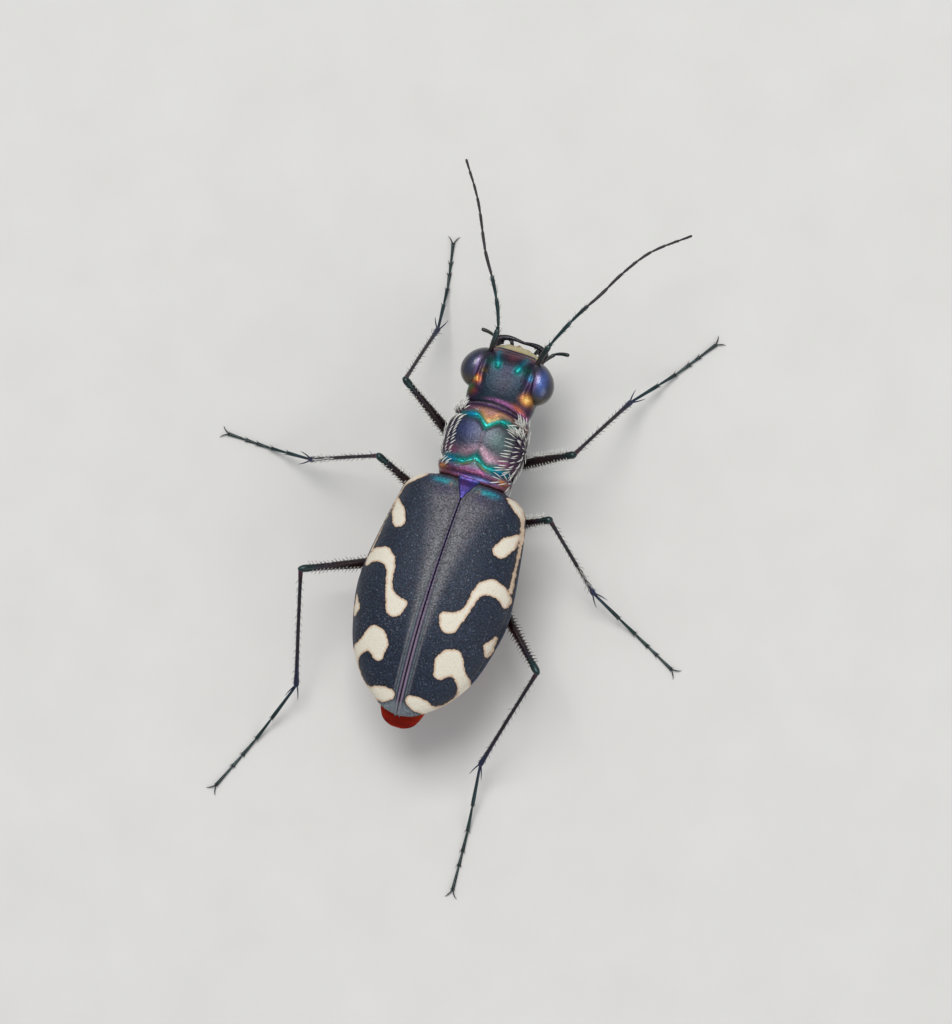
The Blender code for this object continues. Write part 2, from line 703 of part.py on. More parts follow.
def make_tarsus(name, ankle, toe):
    """A foot of five joints and two claws, flat underneath where it rests on the floor."""
    fine = tarsus_path(ankle, toe, 61)
    stops, reach = [(0.0, 0.16), (0.02, LIMB_RADIUS)], 0.0
    for index, share in enumerate(TARSOMERES):
        if index:
            stops.append((reach + 0.012, LIMB_RADIUS * 0.92))
        stops.append((reach + share * 0.55, LIMB_RADIUS))
        stops.append((reach + share - 0.012, LIMB_RADIUS * 1.06))
        reach += share
    stops.append((1.0, LIMB_RADIUS * 0.75))
    points = [point_along(fine, share) for share, _ in stops]
    foot = loft(name, floored(tube_rings(points, [r for _, r in stops], LIMB_SIDES)), "green_leg")
    along = (fine[-1] - fine[-6]).normalized()
    side = along.cross(UP).normalized()
    claws = []
    for sign in (-1, 1):
        way = (along + side * sign * CLAW_SPREAD).normalized()
        root = fine[-1] - along * CLAW_ROOT
        tip = root + way * (CLAW_LENGTH + CLAW_ROOT)
        tip.z = CLAW_RADIUS * 0.3
        claws.append(spine(root, tip, CLAW_RADIUS))
    fuse(foot, claws)
    return foot


def floored(rings):
    """Rings with no point under the floor."""
    return [[Vector((p.x, p.y, max(p.z, 0.0))) for p in ring] for ring in rings]


def coxa_place(name):
    """The middle and the radii of a leg's coxa."""
    pair, side = name.split("_")
    (right, forward, up), radii = COXAE[pair]
    return at(-right if side == "left" else right, forward, up), radii


def way_out(point, way, centre, radii):
    """How far a point inside an ellipsoid is from its surface along a unit direction."""
    start = Vector([(point - centre)[axis] / radii[axis] for axis in range(3)])
    step = Vector([way[axis] / radii[axis] for axis in range(3)])
    half = start.dot(step) / step.length_squared
    return math.sqrt(half ** 2 - (start.length_squared - 1) / step.length_squared) - half


def make_leg(name, places, body):
    """One leg: coxa in its socket of the body, femur, tibia and tarsus, each clear of the one before."""
    hip, knee, ankle = (at(*place) for place in places[:3])
    toe = at(*places[3], TOE_HEIGHT)
    centre, radii = coxa_place(name)
    ellipsoid(f"coxa_{name}", centre, radii, "black_cuticle", COXA_SIDES)
    cut(body, ellipsoid("socket", centre, [radius + GAP for radius in radii], "black_cuticle", COXA_SIDES))
    thigh = (knee - hip).normalized()
    start = hip + thigh * (way_out(hip, thigh, centre, radii) + GAP)
    loft(f"femur_{name}", limb_rings(start, knee + thigh * KNEE_RADIUS, FEMUR_SHAPE, 10), "black_cuticle")
    shin = (ankle - knee).normalized()
    start = knee + shin * (KNEE_RADIUS + GAP)
    rings = limb_rings(start, ankle + shin * ANKLE_RADIUS, TIBIA_SHAPE)
    tibia = loft(f"tibia_{name}", rings, "black_cuticle")
    fuse(tibia, tibia_spurs(knee, ankle, toe))
    make_tarsus(f"tarsus_{name}", ankle, toe)


def centre_and_scale():
    """Moves the model so that its box stands centred on the origin, and scales it to metres."""
    nodes = [node for node in bpy.context.scene.objects if node.type == "MESH"]
    points = [v.co for node in nodes for v in node.data.vertices]
    low = Vector([min(p[axis] for p in points) for axis in range(3)])
    high = Vector([max(p[axis] for p in points) for axis in range(3)])
    middle = (low + high) / 2
    move = Matrix.Translation((-middle.x, -middle.y, -low.z))
    for node in nodes:
        node.data.transform(Matrix.Scale(MM, 4) @ move)
        root = sum((v.co for v in node.data.vertices), Vector()) / len(node.data.vertices)
        node.data.transform(Matrix.Translation(-root))
        node.location = root


def main():
    for leftover in list(bpy.data.objects):
        bpy.data.objects.remove(leftover)
    pronotum = make_pronotum()
    make_head()
    make_eyes()
    make_labrum()
    make_mandible(-1, "mandible_left", MANDIBLE_TIP_STEP)
    make_mandible(1, "mandible_right", -MANDIBLE_TIP_STEP)
    for side, name in ((-1, "left"), (1, "right")):
        make_palp(f"palp_maxillary_{name}", MAXILLARY_PALP, side, "green_leg")
        make_palp(f"palp_labial_{name}", LABIAL_PALP, side, "cream_cuticle")
    make_antenna("left", ANTENNA_LEFT)
    make_antenna("right", ANTENNA_RIGHT)
    make_elytra()
    make_scutellum()
    thorax = make_thorax()
    make_abdomen()
    for name, places in LEGS.items():
        make_leg(name, places, pronotum if name.startswith("front") else thorax)
    centre_and_scale()


main()
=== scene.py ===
# %% [markdown]
# A tiger beetle at life size, standing still
#
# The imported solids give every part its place, and this script dresses them. A tiger beetle is about 13 mm
# long, and Blender's tools round off at such sizes. So each piece is modelled in millimetres, round the
# middle of the pronotum's rear edge, and the last cells scale it to metres and move it onto its solid.

# %% The frame
import math

import bpy
import numpy as np
from mathutils import Matrix, Vector


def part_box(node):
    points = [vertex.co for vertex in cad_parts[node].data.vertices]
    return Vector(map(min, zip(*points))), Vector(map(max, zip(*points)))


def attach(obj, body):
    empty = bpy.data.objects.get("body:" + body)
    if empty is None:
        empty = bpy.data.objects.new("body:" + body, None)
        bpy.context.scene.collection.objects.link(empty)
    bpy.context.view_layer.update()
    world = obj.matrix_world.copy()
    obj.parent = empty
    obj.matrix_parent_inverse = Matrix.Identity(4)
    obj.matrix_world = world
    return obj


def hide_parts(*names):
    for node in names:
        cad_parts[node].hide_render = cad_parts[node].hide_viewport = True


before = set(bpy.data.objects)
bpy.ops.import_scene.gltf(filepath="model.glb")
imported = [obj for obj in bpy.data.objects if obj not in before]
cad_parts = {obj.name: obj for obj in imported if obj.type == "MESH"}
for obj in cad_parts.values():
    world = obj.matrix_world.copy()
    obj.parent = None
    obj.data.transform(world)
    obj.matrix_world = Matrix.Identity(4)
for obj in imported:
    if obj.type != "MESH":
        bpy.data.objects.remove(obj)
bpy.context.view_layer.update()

# %% [markdown]
# A place on the beetle is read as (right, forward, up) in millimetres. The head faces -Y, so right is -X. The
# pronotum's own box shows where the middle of its rear edge is in the frame, and PLACE carries a finished
# piece from millimetres to its place there.

# %% Places on the beetle
MM = 0.001
UP = Vector((0, 0, 1))
PRONOTUM_REAR = 0.15
shield_low, shield_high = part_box("pronotum")
MIDLINE = (shield_low.x + shield_high.x) / 2
BASE = shield_high.y + PRONOTUM_REAR * MM
PLACE = Matrix.Translation((MIDLINE, BASE, 0)) @ Matrix.Scale(MM, 4)


def at(right, forward, up):
    """The point at a place on the beetle."""
    return Vector((-right, -forward, up))


print("middle of the pronotum's rear edge at", [round(v, 5) for v in (MIDLINE, BASE)])

# %% [markdown]
# The photograph looks down on the beetle from high up, a little from its right and from behind, with the
# body turned in the picture. A long lens far away gives the same flat view. Three angles say all of this: how
# far the line of sight leans to the right, how far it leans to the rear, and how much the picture is turned.

# %% Camera
LEAN_RIGHT, LEAN_REAR, TURN = (math.radians(a) for a in (9.5, 5.0, 17.9))
IMAGE_HEIGHT = 1024
MM_A_PIXEL = 0.0324
SENSOR = 36.0
CAMERA_DISTANCE = 400.0
AIM = (0.399, -0.824, 3.3)

back = at(math.tan(LEAN_RIGHT), -math.tan(LEAN_REAR), 1).normalized()
ahead = at(0, 1, 0)
ahead = (ahead - back * ahead.dot(back)).normalized()
across = ahead.cross(back)
camera_right = math.cos(TURN) * across + math.sin(TURN) * ahead
camera_up = -math.sin(TURN) * across + math.cos(TURN) * ahead
target = at(0, 0, AIM[2]) + AIM[0] * across + AIM[1] * ahead

camera_data = bpy.data.cameras.new("camera")
camera_data.sensor_width = SENSOR
camera_data.lens = SENSOR * CAMERA_DISTANCE / (IMAGE_HEIGHT * MM_A_PIXEL)
camera_data.clip_start, camera_data.clip_end = 0.01, 10
camera = bpy.data.objects.new("camera", camera_data)
turned = Matrix((camera_right, camera_up, back)).transposed().to_4x4()
camera.matrix_world = Matrix.Translation(PLACE @ (target + back * CAMERA_DISTANCE)) @ turned
bpy.context.scene.collection.objects.link(camera)
bpy.context.scene.camera = camera
print("lens", round(camera_data.lens), "mm at", CAMERA_DISTANCE, "mm")

# %% [markdown]
# A dark glossy animal shows little of its own colour and much of the room, so the light is a large soft panel
# above and to its left, a weaker one on the other side and a pale room round it.

# %% Light and floor
def panel(name, place, size, power):
    """A soft square light that faces the beetle. Its place is in millimetres."""
    data = bpy.data.lights.new(name, "AREA")
    data.size = size
    data.energy = power
    light = bpy.data.objects.new(name, data)
    where = PLACE @ Vector(place)
    facing = (where - PLACE @ target).to_track_quat("Z", "Y").to_matrix().to_4x4()
    light.matrix_world = Matrix.Translation(where) @ facing
    light.visible_camera = False
    bpy.context.scene.collection.objects.link(light)


panel("key_panel", at(-70, 165, 445), size=0.24, power=1.55)
panel("fill_panel", at(330, -160, 260), size=0.30, power=0.4)
room = bpy.data.worlds.new("room")
room.use_nodes = True
glow = room.node_tree.nodes["Background"].inputs
glow["Color"].default_value = (0.90, 0.94, 1.0, 1)
glow["Strength"].default_value = 0.50
bpy.context.scene.world = room
bpy.context.scene.view_settings.view_transform = "Standard"

# %% [markdown]
# Each piece starts as a primitive from Blender's own operators and is shaped in edit mode. A few helpers do
# what a modeller does by hand: select one thing only, move points, apply a modifier, join what belongs
# together. Soft edges between colours or hollows are bell curves and smooth steps.

# %% Hands
def alone(piece=None):
    """Leaves edit mode, deselects everything and selects one piece."""
    if bpy.context.object and bpy.context.object.mode != "OBJECT":
        bpy.ops.object.mode_set(mode="OBJECT")
    bpy.ops.object.select_all(action="DESELECT")
    if piece:
        bpy.context.view_layer.objects.active = piece
        piece.select_set(True)


def start(name, add, **settings):
    """A new primitive, made by its operator and named."""
    alone()
    add(**settings)
    piece = bpy.context.object
    piece.name = piece.data.name = name
    return piece


def points_of(piece):
    """The points of a piece as an array."""
    found = np.empty(len(piece.data.vertices) * 3)
    piece.data.vertices.foreach_get("co", found)
    return found.reshape(-1, 3)


def move_points(piece, points):
    """Puts a piece's points at new places."""
    piece.data.vertices.foreach_set("co", np.asarray(points, np.float32).ravel())
    piece.data.update()


def open_up(piece):
    """Goes into edit mode on one piece and selects all of it."""
    alone(piece)
    bpy.ops.object.mode_set(mode="EDIT")
    bpy.ops.mesh.select_all(action="SELECT")


def outward(piece):
    """Turns a closed piece's faces outwards."""
    open_up(piece)
    bpy.ops.mesh.normals_make_consistent(inside=False)
    bpy.ops.object.mode_set(mode="OBJECT")
    bpy.ops.object.shade_smooth()


def modify(piece, kind, **settings):
    """Adds a modifier and applies it."""
    alone(piece)
    modifier = piece.modifiers.new(kind, kind)
    for name, value in settings.items():
        setattr(modifier, name, value)
    bpy.ops.object.modifier_apply(modifier=modifier.name)


def join(piece, others):
    """Makes other objects part of a piece."""
    alone(piece)
    for other in others:
        other.select_set(True)
    bpy.ops.object.join()


def bell(distance, width):
    """1 at no distance, falling smoothly to 0."""
    return np.exp(-((distance / width) ** 2))


def spot(across, along, size):
    """1 in the middle of a round spot, falling smoothly to 0 all round it."""
    return bell(np.hypot(across, along), size)


def rise(low, high, value):
    """0 below low, 1 above high and smooth between."""
    share = np.clip((value - low) / (high - low), 0, 1)
    return share * share * (3 - 2 * share)


def smooth(points, where):
    """Heights at `where` of a smooth curve through (place, height) points."""
    places, heights = (np.array([p[i] for p in points], float) for i in (0, 1))
    where = np.clip(np.asarray(where, float), places[0], places[-1])
    i = np.clip(np.searchsorted(places, where) - 1, 0, len(places) - 2)
    before, after = np.maximum(i - 1, 0), np.minimum(i + 2, len(places) - 1)
    a, b, start_height, end_height = places[i], places[i + 1], heights[i], heights[i + 1]
    slope_in = (end_height - heights[before]) / (b - places[before])
    slope_out = (heights[after] - start_height) / (places[after] - a)
    s = (where - a) / (b - a)
    return (
        (2 * s ** 3 - 3 * s ** 2 + 1) * start_height
        + (s ** 3 - 2 * s ** 2 + s) * (b - a) * slope_in
        + (3 * s ** 2 - 2 * s ** 3) * end_height
        + (s ** 3 - s ** 2) * (b - a) * slope_out
    )


def grow(name, rings):
    """A closed skin: a filled circle extruded once a ring, its points then moved to the rings."""
    count, sides = rings.shape[:2]
    piece = start(name, bpy.ops.mesh.primitive_circle_add, vertices=sides, radius=1, fill_type="NGON")
    open_up(piece)
    for _ in range(count - 1):
        bpy.ops.mesh.extrude_region_move(TRANSFORM_OT_translate={"value": (0, 0, 1)})
    bpy.ops.object.mode_set(mode="OBJECT")
    rod = points_of(piece)
    step = np.rint(np.arctan2(rod[:, 1], rod[:, 0]) / math.tau * sides).astype(int) % sides
    move_points(piece, rings[np.rint(rod[:, 2]).astype(int), step])
    modify(piece, "SUBSURF", levels=1)
    outward(piece)
    return piece


def count_faces(*pieces):
    """Prints what each piece has become."""
    for piece in pieces:
        sides = np.empty(len(piece.data.polygons), int)
        piece.data.polygons.foreach_get("loop_total", sides)
        edges = len(piece.data.vertices) - len(piece.data.edges) + len(piece.data.polygons)
        print(f"{piece.name}: {int((sides - 2).sum())} triangles, euler {edges}")


# %% [markdown]
# The trunk's parts are rounded boxes in section. Their tables are the solids' own: how far forward, half
# width, top and bottom. Denser rings than the solids' leave room for grooves and ridges.

# %% Rings across the body
def body_rings(forward, half_width, top, bottom, widest, roundness=2.2, sides=64):
    """Rings across the body, each a rounded box with evenly spaced points and widest at a given height."""
    fine = np.linspace(0, math.tau, 16 * sides + 1)
    shape = (len(forward), 1)
    half_width, top, bottom, widest, roundness = (
        np.broadcast_to(np.asarray(v, float).reshape(-1, 1), shape)
        for v in (half_width, top, bottom, widest, roundness)
    )
    waves = (np.cos(fine), np.sin(fine))
    across, upward = (np.sign(wave) * np.abs(wave) ** (2 / roundness) for wave in waves)
    across = -half_width * across
    upward = widest + np.where(upward > 0, top - widest, widest - bottom) * upward
    rings = np.empty((len(forward), sides, 3))
    rings[..., 1] = -np.asarray(forward, float)[:, None]
    for ring, x, z in zip(rings, across, upward):
        far = np.concatenate([[0], np.cumsum(np.hypot(np.diff(x), np.diff(z)))])
        steps = np.arange(sides) / sides * far[-1]
        ring[:, 0], ring[:, 2] = np.interp(steps, far, x), np.interp(steps, far, z)
    return rings


def sections_at(sections, forward):
    """Half width, top and bottom read from a table of sections."""
    return [smooth([(s[0], s[i]) for s in sections], forward) for i in (1, 2, 3)]


def place_of(points):
    """(right, forward, up) of points."""
    return -points[..., 0], -points[..., 1], points[..., 2]


def shrunk(ring, share, back):
    """A ring drawn in to a share of its size and moved back, which closes an end softly."""
    return ring.mean(0) + (ring - ring.mean(0)) * share + (0, back, 0)


# %% [markdown]
# The pronotum is the shield between head and wing cases. Two grooves cross it, the front one bent back to a
# point in the middle and the rear one bent forward, and a fine line joins them. Its front edge is arched back
# at the sides, and both edges have a thin raised rim.

# %% Pronotum
PRONOTUM_SECTIONS = (
    (-0.02, 1.10, 4.06, 2.80),
    (0.15, 1.19, 4.12, 2.72),
    (0.30, 1.26, 4.17, 2.62),
    (0.60, 1.27, 4.18, 2.52),
    (1.05, 1.33, 4.26, 2.46),
    (1.50, 1.35, 4.30, 2.44),
    (1.90, 1.31, 4.24, 2.48),
    (2.20, 1.26, 4.12, 2.56),
    (2.50, 1.22, 4.02, 2.64),
    (2.68, 1.12, 3.90, 2.74),
)
PRONOTUM_TUCK, PRONOTUM_FRONT = -0.02, 2.68
PRONOTUM_WIDEST = 3.28
PRONOTUM_HALF_WIDTH = 1.35
FRONT_ARCH = 0.42
GROOVES = {"front": (2.17, 1.84), "rear": (0.57, 0.82)}
GROOVE_DEPTH, GROOVE_WIDTH, GROOVE_PEAK = 0.13, 0.12, 0.44
RIM_LINES = ((0.16, 0.020), (0.06, -0.022), (2.52, 0.020), (2.64, -0.020))
RIM_LINE_WIDTH = 0.05


def front_arch(right, share=1.0):
    """How far the pronotum's front edge and the neck fall back away from the middle."""
    return FRONT_ARCH * share * (right / PRONOTUM_HALF_WIDTH) ** 2


def length_share(forward):
    """How far along the pronotum a place is, 0 at its rear edge and 1 at its front edge."""
    return (forward - PRONOTUM_REAR) / (PRONOTUM_FRONT - PRONOTUM_REAR)


def groove_line(right, which):
    """Where a groove of the pronotum lies, forward."""
    side, middle = GROOVES[which]
    return side + (middle - side) * np.maximum(0.0, 1 - np.abs(right) / GROOVE_PEAK) ** 1.3


def pronotum_relief(right, forward, up):
    """How far the pronotum's skin is pressed in at a place."""
    upper = rise(PRONOTUM_WIDEST - 0.35, PRONOTUM_WIDEST + 0.35, up)
    depth = GROOVE_DEPTH * np.maximum(*(bell(forward - groove_line(right, g), GROOVE_WIDTH) for g in GROOVES))
    depth = depth + 0.035 * bell(right, 0.05) * rise(0.75, 1.0, forward) * rise(1.95, 1.7, forward)
    depth = depth + sum(deep * bell(forward - line, RIM_LINE_WIDTH) for line, deep in RIM_LINES)
    ripple = np.sin(forward * 41 + 3 * np.sin(right * 5)) * np.sin(right * 23 + 2 * np.sin(forward * 7))
    return (depth + 0.004 * ripple) * upper


def make_pronotum():
    """The shield over the first thorax segment."""
    forward = np.linspace(PRONOTUM_TUCK, PRONOTUM_FRONT, 64)
    rings = body_rings(forward, *sections_at(PRONOTUM_SECTIONS, forward), PRONOTUM_WIDEST, sides=96)
    share = np.clip(length_share(forward), 0, 1)[:, None]
    right, ahead_by, up = place_of(rings)
    depth = pronotum_relief(right, ahead_by, up)[..., None]
    centre = np.stack([np.zeros_like(right), rings[..., 1], np.full_like(right, PRONOTUM_WIDEST)], -1)
    inward = centre - rings
    rings = rings + inward / np.linalg.norm(inward, axis=-1, keepdims=True) * depth
    rings[..., 1] += front_arch(right, share ** 3)
    ends = [shrunk(rings[-1], 0.95, 0.03), shrunk(rings[-1], 0.86, 0.10)]
    return grow("pronotum_shield", np.array([shrunk(rings[0], 0.86, -0.12), *rings, *ends]))


pronotum = make_pronotum()
count_faces(pronotum)

# %% [markdown]
# The head is wider than it looks between its eyes. Its front slopes down to the upper lip, with a shallow
# hollow between the eyes, a raised rim beside each eye and a slanting pit behind each feeler. Its neck runs
# back into the pronotum, so nothing shows between the two.

# %% Head capsule
HEAD_SECTIONS = (
    (2.10, 0.80, 3.62, 2.80),
    (2.60, 1.00, 3.75, 2.66),
    (2.83, 1.09, 3.80, 2.60),
    (3.05, 1.14, 3.84, 2.50),
    (3.35, 1.11, 3.87, 2.44),
    (3.70, 1.06, 3.88, 2.42),
    (3.94, 1.02, 3.84, 2.44),
    (4.16, 0.97, 3.73, 2.50),
    (4.34, 0.89, 3.56, 2.66),
    (4.45, 0.80, 3.38, 2.80),
    (4.51, 0.68, 3.26, 2.90),
)
HEAD_ROUNDNESS = ((2.10, 2.2), (2.90, 2.5), (3.30, 3.3), (4.10, 3.3), (4.51, 2.6))
HEAD_WIDEST = 3.15
HEAD_OFFSET = 0.03
STREAK = ((0.47, 4.36), (0.33, 3.87))
ORBIT = 0.91


def beside(right, forward, first, last):
    """Distance from a line between two (right, forward) places, on either side of the head."""
    right = np.abs(right)
    way = np.subtract(last, first)
    share = np.clip(((right - first[0]) * way[0] + (forward - first[1]) * way[1]) / way.dot(way), 0, 1)
    return np.hypot(right - first[0] - share * way[0], forward - first[1] - share * way[1])


def head_relief(right, forward, up):
    """How far the top of the head is pressed in at a place."""
    eyes = rise(3.05, 3.35, forward) * rise(4.40, 4.10, forward)
    off = np.abs(right) + 0.16 * (forward - 3.75) ** 2
    depth = 0.035 * bell(right, 0.45) * bell(forward - 3.85, 0.45)
    depth = depth + (0.050 * bell(off - ORBIT + 0.16, 0.075) - 0.075 * bell(off - ORBIT, 0.070)) * eyes
    depth = depth + 0.060 * bell(beside(right, forward, *STREAK), 0.075)
    depth = depth + 0.030 * bell(forward - 4.40 + 0.10 * right ** 2, 0.030) * rise(0.75, 0.55, np.abs(right))
    depth = depth + 0.0045 * np.sin(off * 120) * bell(off - 0.70, 0.13) * eyes
    wrinkles = np.sin(forward * 47 + 4 * np.sin(right * 6)) * np.sin(right * 31 + 3 * np.sin(forward * 5))
    return (depth + 0.002 * wrinkles) * rise(3.15, 3.45, up)


def make_head():
    """The head capsule and its neck."""
    forward = np.concatenate([np.linspace(2.10, 4.26, 56), np.linspace(4.29, 4.51, 14)])
    half_width, top, bottom = sections_at(HEAD_SECTIONS, forward)
    widest = np.minimum(HEAD_WIDEST, (top + bottom) / 2)
    rings = body_rings(forward, half_width, top, bottom, widest, smooth(HEAD_ROUNDNESS, forward), 104)
    right, ahead_by, up = place_of(rings)
    rings[..., 2] -= head_relief(right, ahead_by, up)
    neck = np.clip(1 - (forward - 2.83) / 0.6, 0, 1)[:, None]
    rings[..., 1] += front_arch(right, neck)
    rings[..., 0] -= HEAD_OFFSET
    face = [shrunk(rings[-1], 0.93, -0.035), shrunk(rings[-1], 0.80, -0.045)]
    return grow("head_capsule", np.array([*rings, *face]))


head = make_head()
count_faces(head)

# %% [markdown]
# A tiger beetle hunts by sight, and its eyes bulge far out of the head. Each is a squashed ball, flatter on
# the inside, covered in six-sided lenses far too small to model, which the finish gives as bumps.

# %% Eyes
EYE_CENTRE = (1.06, 3.72, 3.24)
EYE_RADII = (0.51, 0.69, 0.52)
EYE_TURN, EYE_BEND, EYE_TILT = 0.10, 0.10, 0.05


def make_eye(side, name):
    """One compound eye; side is 1 on the right and -1 on the left."""
    eye = start(name, bpy.ops.mesh.primitive_uv_sphere_add, segments=64, ring_count=40, radius=1)
    ball = points_of(eye)
    ball = ball[:, [2, 1, 0]]
    ball[:, 2] -= EYE_TILT * ball[:, 0] * side
    right, forward, up = EYE_CENTRE
    points = ball * EYE_RADII + at(HEAD_OFFSET + side * right, forward, up)
    points[:, 0] += side * (EYE_BEND * ball[:, 1] ** 2 - EYE_TURN * ball[:, 1])
    move_points(eye, points)
    outward(eye)
    return eye


eyes = [make_eye(-1, "compound_eye_left"), make_eye(1, "compound_eye_right")]
count_faces(*eyes)

# %% [markdown]
# Limbs, feelers and spines are all round rods of changing thickness along a bent line, so one helper gives
# their rings. A thickness table runs from 0 at the root to 1 at the tip.

# %% Rings along a path
def smooth_path(places, count):
    """Points spaced evenly along a smooth curve through the places."""
    places = np.array([tuple(p) for p in places])
    far = np.concatenate([[0], np.cumsum(np.linalg.norm(np.diff(places, axis=0), axis=1))])
    steps = np.linspace(0, far[-1], count)
    return np.stack([smooth(list(zip(far, places[:, axis])), steps) for axis in range(3)], 1)


def along_path(path, shares):
    """The points at shares of the length of evenly spaced points."""
    steps = np.linspace(0, 1, len(path))
    return np.stack([np.interp(shares, steps, path[:, axis]) for axis in range(3)], 1)


def path_rings(path, radii, sides=16, flat=1.0):
    """Rings round a path. Flat is how high a section is for its width."""
    along = np.gradient(path, axis=0)
    along /= np.linalg.norm(along, axis=1, keepdims=True)
    side = np.cross(along, tuple(UP))
    side /= np.linalg.norm(side, axis=1, keepdims=True)
    over = np.cross(side, along)
    angle = np.arange(sides) * math.tau / sides
    radii = np.asarray(radii, float)[:, None, None]
    wave = np.cos(angle)[None, :, None] * side[:, None] + flat * np.sin(angle)[None, :, None] * over[:, None]
    return path[:, None] + radii * wave


def rod_of(name, path, table, stops, sides=16, flat=1.0):
    """A closed rod along a path, its radius read from (share, radius) points at the stops."""
    stops = np.asarray(stops, float)
    return grow(name, path_rings(along_path(path, stops), smooth(table, stops), sides, flat))


def spike(name, root, tip, radius, bend=(0, 0, 0)):
    """A thin spine from root to tip."""
    path = smooth_path([root, (Vector(root) + Vector(tip)) / 2 + Vector(bend), tip], 12)
    table = ((0, radius), (0.5, radius * 0.72), (0.85, radius * 0.38), (1, radius * 0.06))
    return rod_of(name, path, table, (0, 0.15, 0.35, 0.6, 0.8, 0.93, 1), 8)


# %% [markdown]
# The mouth: a pale upper lip with a scalloped edge and one middle tooth, and under it two sickle jaws whose
# tips cross. The lip is a bent grid given a thickness. A jaw is a flattened rod with teeth joined to its
# inner edge.

# %% Upper lip and jaws
LABRUM_HALF_WIDTH, LABRUM_LENGTH, LABRUM_HEIGHT = 0.74, 0.20, 3.14
LABRUM_ROOT, LABRUM_ARCH = 4.42, 0.11
LIP_THICKNESS, LIP_EDGE = 0.09, 0.02


def make_lip():
    """The upper lip, from under the head's front edge to its toothed margin."""
    lip = start("upper_lip", bpy.ops.mesh.primitive_grid_add, x_subdivisions=72, y_subdivisions=20, size=2)
    grid = points_of(lip)
    side, share = grid[:, 0], (grid[:, 1] + 1) / 2
    scallop = 0.013 * np.cos(side * 14) * (1 - 0.4 * np.abs(side))
    tooth = 0.035 * bell(side, 0.08)
    reach = (LABRUM_LENGTH + 0.14) * share * (1 - 0.25 * side ** 4) + (scallop + tooth) * share ** 3
    forward = LABRUM_ROOT + reach - LABRUM_ARCH * side ** 2
    up = LABRUM_HEIGHT + 0.03 - 0.24 * share ** 1.4 - 0.12 * side ** 2 + 0.05 * np.sin(share * math.pi)
    up -= 0.02 * bell(share - 0.75, 0.08)
    move_points(lip, np.stack([-(HEAD_OFFSET + LABRUM_HALF_WIDTH * side), -forward, up], 1))
    modify(lip, "SOLIDIFY", thickness=LIP_THICKNESS, offset=-1)
    outward(lip)
    modify(lip, "BEVEL", width=LIP_EDGE, segments=2, limit_method="ANGLE")
    return lip


JAW_PATH = (
    (0.60, 4.36, 2.72), (0.80, 4.64, 2.64), (0.79, 4.84, 2.58), (0.46, 4.98, 2.55), (-0.18, 4.95, 2.52),
)
JAW_TABLE = ((0, 0.17), (0.2, 0.16), (0.45, 0.105), (0.7, 0.070), (0.9, 0.042), (1, 0.012))
JAW_LIFT = 0.10
JAW_TEETH = ((0.30, 0.12, 0.10), (0.46, 0.07, 0.075), (0.60, 0.04, 0.055))


def make_jaw(side, name, lift):
    """A sickle jaw with teeth on its inner edge."""
    places = [at(HEAD_OFFSET + side * r, f, u + lift * (i / 4) ** 2) for i, (r, f, u) in enumerate(JAW_PATH)]
    path = smooth_path(places, 60)
    jaw = rod_of(name, path, JAW_TABLE, np.linspace(0, 1, 26) ** 0.9, flat=0.8)
    teeth = []
    for share, size, width in JAW_TEETH:
        near, far = (Vector(p) for p in along_path(path, (share - 0.02, share + 0.02)))
        inward = (far - near).normalized().cross(UP) * -side
        root = (near + far) / 2
        teeth.append(spike("tooth", root, root + inward * (smooth(JAW_TABLE, share) + size), width))
    join(jaw, teeth)
    return jaw


lip = make_lip()
jaws = [make_jaw(-1, "jaw_left", JAW_LIFT), make_jaw(1, "jaw_right", -JAW_LIFT)]
count_faces(lip, *jaws)

# %% [markdown]
# Beside the jaws hang two pairs of jointed palps. Each joint is a little thicker at its far end, and the last
# one ends blunt. They are thinner than the solids, which have to be strong enough to keep.

# %% Palps
MAXILLARY_PALP = (
    (0.58, 4.00, 2.36), (0.64, 4.30, 2.12), (0.85, 4.74, 2.02), (1.14, 5.01, 2.01), (1.52, 5.05, 2.08),
)
LABIAL_PALP = (
    (0.27, 3.86, 2.36), (0.28, 4.12, 2.08), (0.31, 4.48, 1.92), (0.40, 4.82, 1.88), (0.50, 5.02, 1.90),
)
MAXILLARY_JOINTS = (0.20, 0.22, 0.28, 0.30)
LABIAL_JOINTS = (0.24, 0.40, 0.36)
PALP_RADIUS = 0.062


def jointed(name, path, joints, base, tip, swell, end=0.8):
    """A rod of joints with radii from base to tip, each waisted at its root and swollen towards its end."""
    stops, reach = [], 0.0
    for index, share in enumerate(joints):
        thick = base + (tip - base) * reach
        waist = 0.3 if index == len(joints) - 1 else 0.60
        outline = ((0.015, 0.62), (0.09, 0.86), (0.5, 0.95), (0.86, swell), (0.95, swell * end), (1.0, waist))
        stops += [(reach + share * s, thick * w) for s, w in outline]
        reach += share
    shares, radii = zip((0.0, stops[0][1]), *stops)
    return grow(name, path_rings(along_path(path, shares), radii, 12))


def make_palp(name, places, joints, side):
    """One palp, sunk into the underside of the head at its root."""
    path = smooth_path([at(HEAD_OFFSET + side * r, f, u) for r, f, u in places], 60)
    return jointed(name, path, joints, PALP_RADIUS, PALP_RADIUS, 1.15)


palps = []
for side, word in ((-1, "left"), (1, "right")):
    palps.append(make_palp(f"cheek_palp_{word}", MAXILLARY_PALP, MAXILLARY_JOINTS, side))
    palps.append(make_palp(f"lip_palp_{word}", LABIAL_PALP, LABIAL_JOINTS, side))
count_faces(*palps)

